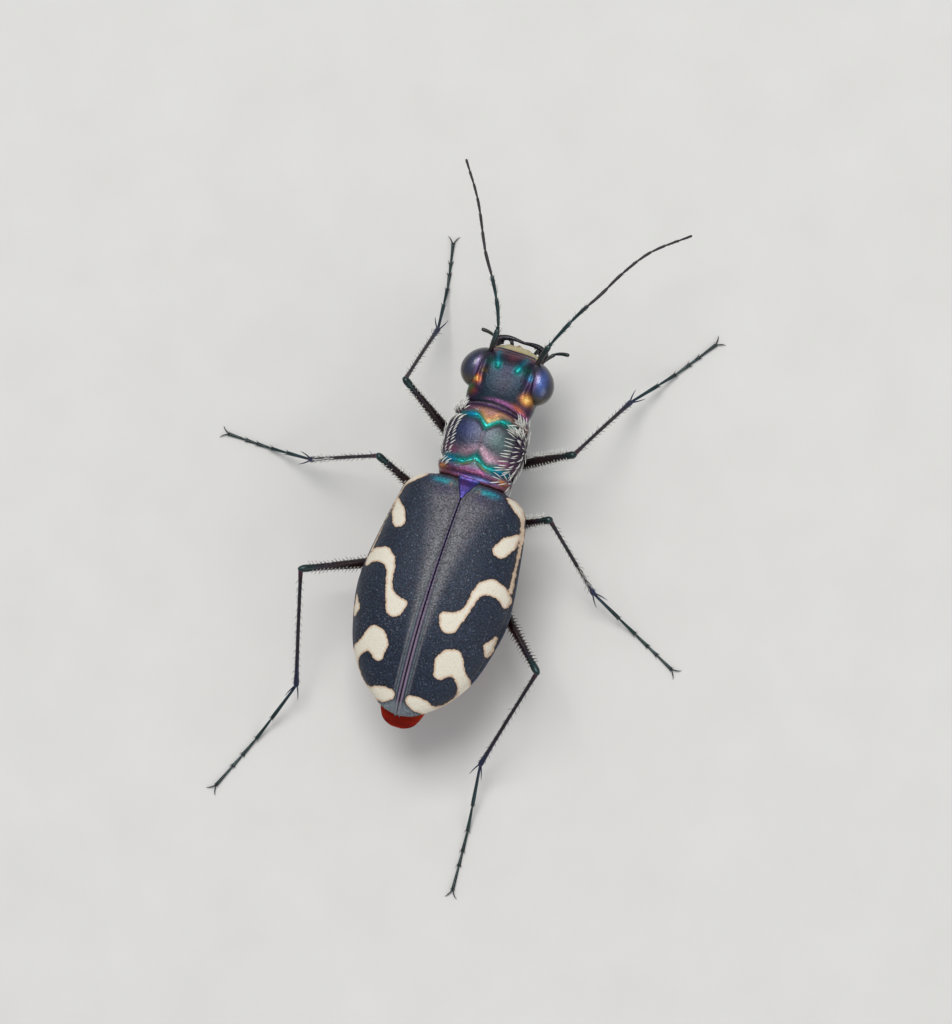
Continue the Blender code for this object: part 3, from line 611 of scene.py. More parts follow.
# %% [markdown]
# A feeler has eleven joints. The first is stout, the second a small knob, the next two slim and shining like
# metal, and the rest are dull with a fine down. The lines come from the solids; the real thickness is about a
# quarter of theirs.

# %% Feelers
FEELERS = {
    "right": (
        (0.83, 4.30, 3.40), (1.12, 5.06, 3.72), (1.76, 6.24, 4.10), (2.25, 7.00, 4.20),
        (2.68, 7.80, 4.25), (3.38, 8.80, 4.20), (4.49, 9.75, 4.00),
    ),
    "left": (
        (-0.75, 4.30, 3.40), (-0.72, 5.20, 3.77), (-1.18, 6.30, 4.10),
        (-1.77, 7.26, 4.20), (-2.53, 8.80, 4.20), (-3.36, 10.01, 4.00),
    ),
}
FEELER_JOINTS = (0.085, 0.03, 0.155, 0.125, 0.125, 0.10, 0.09, 0.08, 0.075, 0.07, 0.065)
SHINING = 4
SHINING_SHARE = sum(FEELER_JOINTS[:SHINING])
SCAPE_SHARE = 0.13
LONG_HAIR_SHARE = 0.39
SCAPE = ((0, 0.07), (0.25, 0.085), (0.6, 0.095), (0.8, 0.10), (0.93, 0.075), (1, 0.03))


def feeler_path(word):
    """The line of one feeler as evenly spaced points."""
    return smooth_path([at(*place) for place in FEELERS[word]], 240)


def make_feeler(word):
    """The shining base and the dull rest of one feeler."""
    path = feeler_path(word)
    root = path[:int(SCAPE_SHARE * len(path))]
    scape = rod_of(f"feeler_base_{word}", root, SCAPE, np.linspace(0, 1, 14))
    base_path = along_path(path, np.linspace(FEELER_JOINTS[0] + 0.02, SHINING_SHARE, 80))
    shining = FEELER_JOINTS[1:SHINING]
    joints = jointed("joints", base_path, [s / sum(shining) for s in shining], 0.062, 0.058, 1.25)
    join(scape, [joints])
    whip_path = along_path(path, np.linspace(SHINING_SHARE - 0.002, 1, 140))
    rest = FEELER_JOINTS[SHINING:]
    whip = jointed(f"feeler_whip_{word}", whip_path, [s / sum(rest) for s in rest], 0.056, 0.038, 1.10)
    return scape, whip


feeler_bases, feeler_whips = zip(*(make_feeler(word) for word in ("left", "right")))
count_faces(*feeler_bases, *feeler_whips)

# %% [markdown]
# The wing cases are one dome split down the middle. Half of it is a fine grid bent over the dome, as a sheet
# of metal would be, and turned down at its outer margin. A bead runs along the split and a rim along the
# margin, the shoulder bulges, and at last the sheet gets its thickness inwards.

# %% Wing cases
WING_HALF_WIDTH = (
    (0.00, 1.30), (0.28, 1.78), (0.62, 2.05), (1.10, 2.17), (2.00, 2.32), (3.20, 2.50), (4.20, 2.53),
    (5.30, 2.33), (6.20, 2.03), (7.00, 1.50), (7.48, 0.98), (7.80, 0.47), (7.89, 0.10),
)
WING_TOP = (
    (0.00, 4.22), (0.20, 4.36), (0.60, 4.52), (2.00, 4.78), (3.60, 4.88),
    (5.20, 4.70), (6.60, 4.24), (7.40, 3.86), (7.80, 3.60), (7.89, 3.50),
)
WING_LENGTH = 7.89
WING_MARGIN, WING_LIP, WING_ROUNDNESS = 3.36, 0.16, 2.25
WING_ARC = 0.90
WING_THICKNESS = 0.09
SPLIT = 0.006
SCUTELLUM_HALF_WIDTH, SCUTELLUM_LENGTH = 0.34, 0.70


def inner_edge(behind):
    """How far from the middle a wing case begins: beside the scutellum, then at the split."""
    return SPLIT + SCUTELLUM_HALF_WIDTH * np.maximum(0, 1 - behind / SCUTELLUM_LENGTH)


def wing_relief(right, behind, arc):
    """How far the wing case stands up at a place; right counts from the middle on either side."""
    edge = right - inner_edge(behind)
    bead = 0.016 * bell(edge - 0.035, 0.04) - 0.022 * bell(edge - 0.115, 0.03)
    bead = bead - 0.010 * bell(edge - 0.20, 0.03) * rise(2, 5, behind) - 0.02 * bell(edge, 0.010)
    shoulder = 0.07 * spot(right - 1.50, behind - 0.52, 0.30) - 0.05 * spot(right - 1.05, behind - 0.42, 0.24)
    shoulder = shoulder - 0.20 * rise(0.22, 0.0, behind) ** 2
    rim = -0.03 * bell(arc - 0.83, 0.018) + 0.02 * bell(arc - 0.88, 0.02)
    waves = 0.006 * np.sin(behind * 2.3 + right * 3) * np.sin(right * 4.1 + 1)
    return bead + shoulder + rim + waves * rise(0, 0.3, edge)


def make_wing_case(side, name):
    """One wing case; side is 1 on the right and -1 on the left."""
    case = start(name, bpy.ops.mesh.primitive_grid_add, x_subdivisions=110, y_subdivisions=260, size=2)
    grid = points_of(case)
    arc, row = (grid[:, 0] + 1) / 2, (grid[:, 1] + 1) / 2
    behind = WING_LENGTH * (1 - (1 - row) ** 1.45)
    half_width, top = smooth(WING_HALF_WIDTH, behind), smooth(WING_TOP, behind)
    inner = inner_edge(behind)
    angle = math.pi / 2 * np.clip(arc / WING_ARC, 0, 1) ** 1.5
    power = 2 / WING_ROUNDNESS
    right = inner + (half_width - inner) * np.sin(angle) ** power
    up = WING_MARGIN + (top - WING_MARGIN) * np.maximum(np.cos(angle), 0) ** power
    fold = np.clip((arc - WING_ARC) / (1 - WING_ARC), 0, 1)
    lip_drop = WING_LIP * np.minimum(1, np.maximum(half_width - 0.2, 0.05))
    right = right - 0.05 * fold ** 2
    up = up - lip_drop * fold
    relief = wing_relief(right, behind, arc)
    right, up = right + relief * np.sin(angle), up + relief * np.cos(angle * 0.9)
    move_points(case, np.stack([-side * right, behind, up], 1))
    outward(case)
    modify(case, "SOLIDIFY", thickness=WING_THICKNESS, offset=-1)
    outward(case)
    return case


wing_cases = [make_wing_case(-1, "wing_case_left"), make_wing_case(1, "wing_case_right")]
count_faces(*wing_cases)

# %% [markdown]
# Between the bases of the wing cases sits the scutellum, a small violet triangle. It is a thin plate whose
# outline narrows to a point, a little arched across.

# %% Scutellum
def make_scutellum():
    """The triangular plate, which runs forward under the pronotum's edge."""
    share = np.linspace(0, 0.97, 20)
    behind = -0.10 + share * (SCUTELLUM_LENGTH + 0.10)
    half_width = (SCUTELLUM_HALF_WIDTH + 0.06) * (1 - share) ** 0.95 + 0.012
    top = smooth(WING_TOP, behind) - 0.10 * rise(0.22, 0, behind)
    rings = body_rings(-behind, half_width, top + 0.012, top - 0.28, top - 0.16, 5.0, 32)
    return grow("shoulder_plate", rings)


scutellum = make_scutellum()
count_faces(scutellum)

# %% [markdown]
# Under the wing cases are the rest of the thorax, which carries the middle and hind legs, and the abdomen.
# The thorax has a groove down its underside and slanting seams on its flanks. The abdomen's plates lap one
# another like roof tiles, and its red end shows behind the wing cases.

# %% Chest and belly
WALL = 0.52
CHEST_FRONT, CHEST_REAR = -0.35, 3.05
CHEST_BOTTOM = ((-0.35, 2.90), (0.0, 2.66), (0.2, 2.55), (0.6, 2.42), (1.1, 2.35), (2.5, 2.35), (3.05, 2.42))
BELLY = 2.35
ABDOMEN_START, ABDOMEN_REAR, ABDOMEN_PLATES = 2.90, 8.24, 6
PLATE_LENGTH = (ABDOMEN_REAR - 0.10 - ABDOMEN_START) / ABDOMEN_PLATES
ABDOMEN_END = (
    (6.00, 1.42, 3.70, 2.38), (6.60, 1.16, 3.36, 2.42), (7.00, 0.96, 3.10, 2.46), (7.40, 0.80, 3.04, 2.50),
    (7.80, 0.70, 3.02, 2.55), (8.02, 0.58, 2.98, 2.61), (8.16, 0.40, 2.93, 2.68), (8.24, 0.18, 2.86, 2.76),
)


def under_wings(behind):
    """Half width and top of what fits under the wing cases."""
    near = np.maximum(behind, 0.05)
    return smooth(WING_HALF_WIDTH, near) - WALL, smooth(WING_TOP, near) - WALL


def make_chest():
    """The second and third thorax segments in one piece."""
    behind = np.linspace(CHEST_FRONT, CHEST_REAR, 60)
    half_width, top = under_wings(behind)
    narrowed = rise(0.1, CHEST_FRONT, behind)
    half_width = half_width * (1 - 0.25 * narrowed)
    top = top - 0.15 * narrowed
    rings = body_rings(-behind, half_width, top, smooth(CHEST_BOTTOM, behind), WING_MARGIN - 0.1, 2.3, 80)
    right, forward, up = place_of(rings)
    low = rise(3.0, 2.6, up)
    groove = 0.05 * bell(right, 0.05) * low
    flank = rise(3.2, 3.0, up) * rise(0.55, 0.8, np.abs(right))
    seams = [0.045 * bell(forward + c - 0.5 * (up - 2.8), 0.05) for c in (0.55, 1.55, 2.60)]
    rings[..., 2] += groove + sum(seams) * low
    rings[..., 0] -= np.sign(rings[..., 0]) * sum(seams) * flank
    return grow("chest", rings)


def make_belly():
    """The abdomen."""
    behind, swell = [], []
    for index in range(ABDOMEN_PLATES):
        near = ABDOMEN_START + index * PLATE_LENGTH
        behind += [near + 0.01, near + 0.05, near + 0.12]
        behind += [near + PLATE_LENGTH * 0.5, near + PLATE_LENGTH * 0.85, near + PLATE_LENGTH - 0.015]
        swell += [0.075, 0.045, 0.015, 0.0, 0.0, 0.012]
    behind += [ABDOMEN_REAR - 0.06, ABDOMEN_REAR - 0.02, ABDOMEN_REAR]
    swell += [0.02, 0.02, 0.03]
    behind, swell = np.array(behind), np.array(swell)
    tucked = behind < ABDOMEN_END[0][0]
    inside_width, inside_top = under_wings(behind)
    end_width, end_top, end_bottom = sections_at(ABDOMEN_END, behind)
    half_width = np.where(tucked, inside_width, end_width) * (1 - swell / 2)
    top = np.where(tucked, inside_top, end_top) - swell * 0.5 * ~tucked
    bottom = np.where(tucked, BELLY, end_bottom) + swell
    widest = np.minimum(WING_MARGIN - 0.2, bottom + 0.55 * (top - bottom))
    rings = body_rings(-behind, half_width, top, bottom, widest, 2.1, 64)
    return grow("belly", rings)


chest, belly = make_chest(), make_belly()
count_faces(chest, belly)

# %% [markdown]
# Each leg has a ball-like hip in the underside, a knob, a thigh, a shin with two spurs at its end and a foot
# of five joints with two claws. The hips, knees, ankles and toes are the solids' own, and the limbs are as
# thin as the real ones.

# %% Legs
LEGS = {
    "front_left": ((-0.72, 0.98, 1.95), (-3.13, 2.61, 3.45), (-3.02, 4.72, 1.10), (-3.60, 7.68)),
    "front_right": ((0.72, 0.98, 1.95), (2.90, 1.87, 3.40), (3.76, 4.29, 0.95), (5.73, 7.01)),
    "mid_left": ((-0.88, -1.05, 1.88), (-3.24, 0.00, 3.18), (-5.72, -0.58, 1.05), (-8.78, -0.48)),
    "mid_right": ((0.88, -1.05, 1.88), (2.76, -0.36, 3.10), (4.53, -2.05, 1.00), (7.63, -3.61)),
    "hind_left": ((-1.25, -2.75, 1.86), (-4.47, -4.29, 3.50), (-3.87, -7.78, 1.00), (-5.57, -11.65)),
    "hind_right": ((1.25, -2.75, 1.86), (3.96, -5.24, 3.50), (2.71, -8.47, 1.00), (2.96, -12.61)),
}
COXAE = {
    "front": ((0.58, 0.95, 2.20), (0.44, 0.40, 0.46)),
    "mid": ((0.66, -1.05, 2.12), (0.48, 0.41, 0.44)),
    "hind": ((0.92, -2.62, 2.08), (0.74, 0.35, 0.40)),
}
THIGH = (
    (0, 0.10), (0.05, 0.13), (0.09, 0.10), (0.13, 0.135), (0.30, 0.18),
    (0.50, 0.165), (0.75, 0.125), (0.90, 0.12), (0.96, 0.13), (1, 0.05),
)
SHIN = (
    (0, 0.075), (0.04, 0.085), (0.12, 0.065), (0.5, 0.063),
    (0.85, 0.072), (0.95, 0.095), (0.985, 0.095), (1, 0.05),
)
KNEE_BEYOND = 0.10
LOWEST = 0.004
SPUR_LENGTH, SPUR_RADIUS, SPUR_SPREAD = 0.52, 0.030, 0.42
FOOT_JOINTS = (0.34, 0.20, 0.16, 0.11, 0.19)
FOOT_LANDING, FOOT_HEIGHT = 0.55, 0.065
CLAW_LENGTH, CLAW_RADIUS, CLAW_SPREAD = 0.30, 0.028, 0.75


def leg_places(name):
    """Hip, knee, ankle and toe of a leg."""
    hip, knee, ankle, toe = LEGS[name]
    return at(*hip), at(*knee), at(*ankle), at(*toe, FOOT_HEIGHT)


def landing_of(ankle, toe):
    """Where a foot comes down to the floor."""
    landing = ankle.lerp(toe, FOOT_LANDING)
    landing.z = FOOT_HEIGHT + 0.02
    return landing


def make_hip(name):
    """A hip, drawn out towards its leg."""
    pair, word = name.split("_")
    (right, forward, up), radii = COXAE[pair]
    sign = -1 if word == "left" else 1
    hip = start(f"hip_{name}", bpy.ops.mesh.primitive_uv_sphere_add, segments=32, ring_count=20, radius=1)
    ball = points_of(hip)
    ball[:, 0] *= 1 + 0.10 * ball[:, 2]
    dent = 0.06 * bell(ball[:, 1], 0.18) * rise(0.2, -0.4, ball[:, 2])
    ball *= (1 - dent)[:, None]
    move_points(hip, ball * radii + at(sign * right, forward, up))
    outward(hip)
    return hip


def make_leg(name):
    """Hip, thigh, shin and foot of one leg."""
    hip, knee, ankle, toe = leg_places(name)
    thigh_way, shin_way = (knee - hip).normalized(), (ankle - knee).normalized()
    bow = UP * 0.05
    stops = [0, 0.02, 0.05, 0.075, 0.095, 0.12, *np.linspace(0.16, 0.93, 18), 0.96, 0.985, 1]
    path = smooth_path([hip, hip.lerp(knee, 0.5) + bow, knee + thigh_way * KNEE_BEYOND], 60)
    thigh = rod_of(f"thigh_{name}", path, THIGH, stops, flat=1.12)
    stops = [0, 0.02, 0.05, 0.09, *np.linspace(0.14, 0.90, 16), 0.94, 0.97, 0.985, 1]
    path = smooth_path([knee - shin_way * 0.04, knee.lerp(ankle, 0.5) + bow, ankle + shin_way * 0.06], 60)
    shin = rod_of(f"shin_{name}", path, SHIN, stops, 12)
    onward = (toe - ankle).normalized()
    side = shin_way.cross(UP).normalized()
    spurs = []
    for sign in (-1, 1):
        way = (onward * 0.6 + shin_way * 0.45 + side * sign * SPUR_SPREAD).normalized()
        root = ankle + side * sign * 0.03
        tip = root + way * SPUR_LENGTH
        spurs.append(spike("spur", root, tip, SPUR_RADIUS, bend=tuple(side * sign * 0.02)))
    join(shin, spurs)
    landing = landing_of(ankle, toe)
    path = smooth_path([ankle, ankle.lerp(landing, 0.55) - UP * 0.05, landing, toe], 120)
    foot = jointed(f"foot_{name}", path, FOOT_JOINTS, 0.056, 0.046, 1.30, end=0.92)
    sole = points_of(foot)
    sole[:, 2] = np.maximum(sole[:, 2], LOWEST)
    move_points(foot, sole)
    along = Vector(path[-1] - path[-6]).normalized()
    side = along.cross(UP).normalized()
    claws = []
    for sign in (-1, 1):
        way = (along + side * sign * CLAW_SPREAD).normalized()
        root = toe - along * 0.05
        tip = root + way * (CLAW_LENGTH + 0.05)
        tip.z = 0.012
        claws.append(spike("claw", root, tip, CLAW_RADIUS, bend=tuple(along * 0.05 + UP * 0.03)))
    join(foot, claws)
    return {"hip": make_hip(name), "thigh": thigh, "shin": shin, "foot": foot}


legs = {name: make_leg(name) for name in LEGS}
count_faces(*(piece for leg in legs.values() for piece in leg.values()))

# %% [markdown]
# The colours of a tiger beetle are structural: they change from one hollow or edge to the next. That is
# painted on each piece's points as a tint, layer over layer, from the same places that shaped it, so colour
# and relief keep together. Some layers are painted light: sheen on the wing cases, highlights on the
# pronotum's edges and reflections on the eyes. The finishes then add the fine grain.

# %% Painting
def layered(ground, like, *coats):
    """A colour for each point: a ground and the coats over it, each a colour and its strength at each point."""
    made = np.broadcast_to(np.array(ground, float), (len(like), 3))
    for colour, share in coats:
        made = made + (np.array(colour) - made) * np.clip(share, 0, 1)[..., None]
    return made


def patchy(right, forward):
    """An uneven strength between 0.4 and 1, for colours that don't lie even."""
    first = np.sin(right * 37 + 2 * np.sin(forward * 43)) * np.sin(forward * 61 + right * 19)
    second = np.sin(right * 17 - forward * 13 + 3 * np.sin(right * 5 + forward * 11))
    return 0.70 + 0.18 * first + 0.12 * second


def paint(piece, name, values):
    """Keeps a number or a colour on each point of a piece."""
    values = np.asarray(values, np.float32)
    if values.ndim == 1:
        piece.data.attributes.new(name, "FLOAT", "POINT").data.foreach_set("value", values)
    else:
        full = np.concatenate([np.maximum(values, 0), np.ones((len(values), 1), np.float32)], 1)
        piece.data.attributes.new(name, "FLOAT_COLOR", "POINT").data.foreach_set("color", full.ravel())


def tint(piece, colouring):
    """Paints a piece with what a colouring gives for its points' places."""
    paint(piece, "tint", colouring(*place_of(points_of(piece))))


STEEL = (0.016, 0.034, 0.050)
PLUM = (0.046, 0.020, 0.058)
VIOLET = (0.060, 0.036, 0.200)
MAGENTA = (0.270, 0.080, 0.180)
PINK = (0.460, 0.270, 0.340)
COPPER = (0.280, 0.110, 0.075)
ORANGE = (0.820, 0.300, 0.050)
GOLD = (1.000, 0.680, 0.220)
TEAL = (0.008, 0.460, 0.390)
AZURE = (0.010, 0.230, 0.430)
OLIVE = (0.110, 0.075, 0.016)
BRONZE = (0.085, 0.084, 0.105)
NAVY = (0.012, 0.018, 0.036)
INK = (0.007, 0.006, 0.011)


def head_colours(right, forward, up):
    """Grey-teal on top, purple towards the eyes, with bright pits and gilded corners behind the eyes."""
    side = right - HEAD_OFFSET
    off = np.abs(side)
    high = rise(3.15, 3.40, up)
    broken = patchy(right, forward)
    collar = forward + front_arch(right)
    low = rise(3.36, 3.10, up)
    left_spot, right_spot = (
        np.hypot(right - r, (forward - f) * flat) for r, f, flat in ((-0.90, 3.30, 1.5), (0.92, 3.08, 1.1))
    )
    return layered(
        STEEL, right,
        ((0.042, 0.040, 0.056), 0.8 * spot(side - 0.05, forward - 3.30, 0.42)),
        ((0.040, 0.030, 0.062), 0.6 * spot(side, forward - 3.80, 0.20)),
        (PLUM, 0.85 * rise(0.50, 0.86, off + 0.05 * np.sin(forward * 9))),
        (PLUM, 0.8 * rise(4.12, 4.32, forward)),
        ((0.200, 0.040, 0.050), 0.7 * spot(side - 0.05, forward - 4.34, 0.22) * broken),
        ((0.010, 0.095, 0.070), 0.9 * spot(off - 0.64, forward - 3.98, 0.17) * broken),
        (COPPER, 0.75 * bell(forward - 4.46, 0.07) * rise(0.1, 0.6, off)),
        ((0.640, 0.200, 0.520), 0.95 * bell(collar - 2.79, 0.06) * rise(-0.7, 0.5, side) * broken),
        ((0.500, 0.130, 0.050), 0.9 * bell(collar - 2.84, 0.09) * bell(side - 0.72, 0.22)),
        ((0.012, 0.190, 0.280), 0.95 * bell(beside(side, forward, *STREAK), 0.095) * broken),
        (TEAL, 0.8 * spot(off - 0.36, forward - 3.95, 0.110) * broken),
        ((0.020, 0.160, 0.060), 0.6 * spot(off - 0.33, forward - 3.84, 0.060)),
        (AZURE, 0.85 * spot(side - 0.80, forward - 3.78, 0.10) * broken),
        (OLIVE, 0.8 * spot(side + 0.72, forward - 3.62, 0.11)),
        (OLIVE, 0.9 * bell(forward - 3.00 - 0.10 * np.sign(side), 0.17) * rise(0.78, 0.95, off) * high),
        ((0.030, 0.130, 0.030), 0.8 * spot(side + 0.98, forward - 3.02, 0.10)),
        ((0.300, 0.050, 0.045), 0.7 * spot(side + 0.84, forward - 2.90, 0.09)),
        ((0.010, 0.060, 0.095), low),
        ((0.016, 0.085, 0.055), 0.6 * low * bell(forward - 3.3, 0.4)),
        ((0.008, 0.100, 0.150), 0.9 * bell(forward - 2.98, 0.24) * rise(-1.02, -1.12, side)),
        ((0.620, 0.130, 0.050), 0.9 * spot(right + 0.84, forward - 3.30, 0.13) * high),
        (ORANGE, np.maximum(bell(left_spot, 0.13), bell(right_spot, 0.17)) * high),
        (GOLD, np.maximum(bell(left_spot, 0.075), bell(right_spot, 0.095)) * high),
    )


def unarched(right, forward):
    """The forward place a point of the pronotum had before its front edge was arched."""
    straight = forward
    for _ in range(4):
        share = np.clip(length_share(straight), 0, 1)
        straight = forward + front_arch(right, share ** 3)
    return straight


def pronotum_colours(right, forward, up):
    """Brown-grey lobes that redden outwards, teal grooves with gold fringes, and copper collars, with painted
    highlights: a pale line along the front edge and a blue-white gleam on the rear collar.
    """
    forward = unarched(right, forward)
    off = np.abs(right)
    front, rear = (forward - groove_line(right, g) for g in ("front", "rear"))
    uneven = patchy(right * 0.6, forward)
    glow = rise(3.2, 3.6, up)
    broken = 1.25 * patchy(right, forward)
    width = 0.100 + 0.020 * np.sin(right * 11 + 1)
    return layered(
        BRONZE, right,
        ((0.100, 0.155, 0.150), 0.9 * spot(right - 0.62, forward - 1.50, 0.40)),
        ((0.044, 0.058, 0.145), 0.92 * spot(right + 0.72, forward - 1.62, 0.52)),
        (PINK, 0.7 * bell(rear - 0.26, 0.18) * bell(off - 0.36, 0.30)),
        ((0.780, 0.480, 0.590), 0.9 * bell(rear - 0.25, 0.17) * bell(right - 0.36, 0.28)),
        ((0.320, 0.080, 0.170), 0.8 * bell(rear - 0.24, 0.17) * rise(0.5, 0.9, off)),
        (PLUM, 0.85 * rise(0.90, 1.15, off)),
        (
            (0.070, 0.040, 0.050),
            0.6 * bell(right, 0.035) * rise(0.8, 1.1, forward) * rise(1.9, 1.6, forward),
        ),
        ((0.200, 0.100, 0.085), rise(0.06, 0.16, front)),
        (
            (0.420, 0.200, 0.070),
            0.8 * bell(front - 0.26, 0.10) * bell(right - 0.05, 0.40) * patchy(right, forward),
        ),
        ((0.150, 0.060, 0.110), 0.8 * rise(-0.25, -0.60, right) * rise(0.06, 0.16, front)),
        ((0.090, 0.060, 0.070), 0.8 * rise(0.28, 0.42, front) * rise(0.0, 0.7, off)),
        (PLUM, rise(2.46, 2.52, forward)),
        # painted highlight: a pale line along the raised rim of the front edge
        ((0.260, 0.210, 0.220), 0.6 * bell(forward - 2.62, 0.030) * patchy(right, forward)),
        ((0.200, 0.070, 0.080), rise(0.38, 0.28, forward)),
        (MAGENTA, 1.2 * uneven * bell(forward - 0.34, 0.10) * bell(off - 0.3, 0.7)),
        ((0.050, 0.030, 0.090), 0.9 * rise(0.70, 0.60, uneven) * bell(forward - 0.30, 0.12)),
        (VIOLET, 0.9 * bell(forward - 0.14, 0.08) * bell(right - 0.15, 0.75)),
        # painted highlight: a blue-white gleam along the rear collar
        ((0.20, 0.30, 0.62), 0.85 * bell(forward - 0.16, 0.045) * bell(right - 0.40, 0.34)),
        (ORANGE, 0.75 * bell(forward - 0.27, 0.09) * bell(off - 1.02, 0.12)),
        (GOLD, 0.85 * bell(front - 0.13, 0.055) * bell(off - 0.08, 0.30)),
        (
            GOLD,
            0.5 * bell(rear + 0.11, 0.04) * bell(off - 0.3, 0.3)
            + 0.6 * bell(rear - 0.10, 0.04) * bell(right - 0.8, 0.2),
        ),
        (TEAL, broken * bell(front, width) * glow * rise(1.10, 0.70, off)),
        (AZURE, broken * bell(front, 0.100) * glow * bell(off - 0.62, 0.24) * rise(0.1, -0.1, right)),
        (TEAL, broken * bell(rear - 0.01, 1.25 * width) * glow * rise(1.2, 0.9, off)),
        (AZURE, broken * bell(rear + 0.02, 0.150) * glow * bell(off - 0.86, 0.26)),
        ((0.016, 0.028, 0.055), rise(3.15, 2.9, up)),
    )


def scutellum_colours(right, forward, up):
    """Violet, with a blue edge."""
    return layered(
        (0.064, 0.052, 0.240), right,
        ((0.150, 0.060, 0.210), spot(right + 0.08, forward + 0.12, 0.16) * patchy(right, forward)),
        ((0.020, 0.060, 0.120), 0.7 * rise(0.20, 0.36, np.abs(right))),
    )


tint(head, head_colours)
tint(pronotum, pronotum_colours)
tint(scutellum, scutellum_colours)
print("tinted head, pronotum and scutellum")

# %% [markdown]
# The ivory marks of the wing cases are laid out as strokes of a brush: each is a chain of discs, given by how
# far they are out from the middle and behind the base, and their radius. Every point of the wing case keeps
# its distance from the nearest edge of a mark, so the finish can draw a crisp edge at any size.

# %% Ivory marks
MARKS = (
    ((1.38, 0.17, 0.05), (1.55, 0.24, 0.10), (1.78, 0.40, 0.12), (1.98, 0.62, 0.07)),
    ((2.00, 0.66, 0.045), (2.10, 0.98, 0.035), (2.16, 1.25, 0.04)),
    ((2.06, 1.27, 0.08), (1.88, 1.62, 0.22), (1.74, 1.90, 0.24)),
    ((2.16, 1.25, 0.04), (2.25, 1.85, 0.020), (2.31, 2.45, 0.025), (2.38, 3.05, 0.045)),
    ((2.36, 3.52, 0.09), (2.30, 3.32, 0.16), (2.10, 3.17, 0.22), (1.84, 3.13, 0.25), (1.62, 3.24, 0.20)),
    ((1.62, 3.24, 0.20), (1.46, 3.50, 0.13), (1.40, 3.80, 0.10), (1.33, 4.08, 0.10), (1.18, 4.36, 0.15)),
    ((1.18, 4.36, 0.17), (0.95, 4.62, 0.29), (0.93, 4.68, 0.30)),
    ((0.95, 4.55, 0.24), (0.70, 4.50, 0.15)),
    ((2.39, 4.60, 0.04), (2.26, 4.98, 0.12), (2.26, 5.22, 0.06)),
    ((1.40, 5.58, 0.19), (1.26, 5.76, 0.33), (1.18, 5.92, 0.38)),
    ((1.16, 6.02, 0.32), (1.05, 6.26, 0.20)),
    ((1.42, 5.80, 0.30), (1.62, 6.08, 0.20), (1.80, 6.26, 0.19), (1.86, 6.46, 0.17)),
    ((1.86, 6.46, 0.17), (1.80, 6.72, 0.10), (1.62, 6.96, 0.065), (1.32, 7.28, 0.07), (1.05, 7.44, 0.12)),
    ((1.02, 7.45, 0.15), (0.82, 7.42, 0.20), (0.56, 7.40, 0.22), (0.36, 7.36, 0.17)),
)
MARK_BLEND = 0.03


def mark_distance(right, behind):
    """Distance from the edge of the nearest mark, less than 0 inside it."""
    gathered = np.zeros_like(right)
    for stroke in MARKS:
        for (x, y, near), (to_x, to_y, far) in zip(stroke, stroke[1:]):
            way = np.array((to_x - x, to_y - y))
            share = np.clip(((right - x) * way[0] + (behind - y) * way[1]) / way.dot(way), 0, 1)
            away = np.hypot(right - x - share * way[0], behind - y - share * way[1])
            gap = away - near - share * (far - near)
            gathered += np.exp(np.clip(-gap / MARK_BLEND, -60, 60))
    return -MARK_BLEND * np.log(np.maximum(gathered, 1e-26))


# Painted sheen beside the split: how far out it reaches and how strong it is, by distance behind the base.
PAINTED_SHEEN_WIDTH = (
    (0.0, 1.45), (0.6, 1.45), (1.3, 1.20), (2.2, 0.95), (3.2, 0.70), (4.5, 0.50), (6.0, 0.36), (7.6, 0.26),
)
PAINTED_SHEEN_STRENGTH = ((0.0, 0.75), (0.5, 1.0), (3.0, 0.9), (4.5, 0.6), (6.0, 0.45), (7.9, 0.5))


def rear_share(behind):
    """How strongly the fine lines beside the split show: hardly at the front, fully at the rear."""
    return 0.06 + 0.94 * rise(2.4, 5.8, behind)


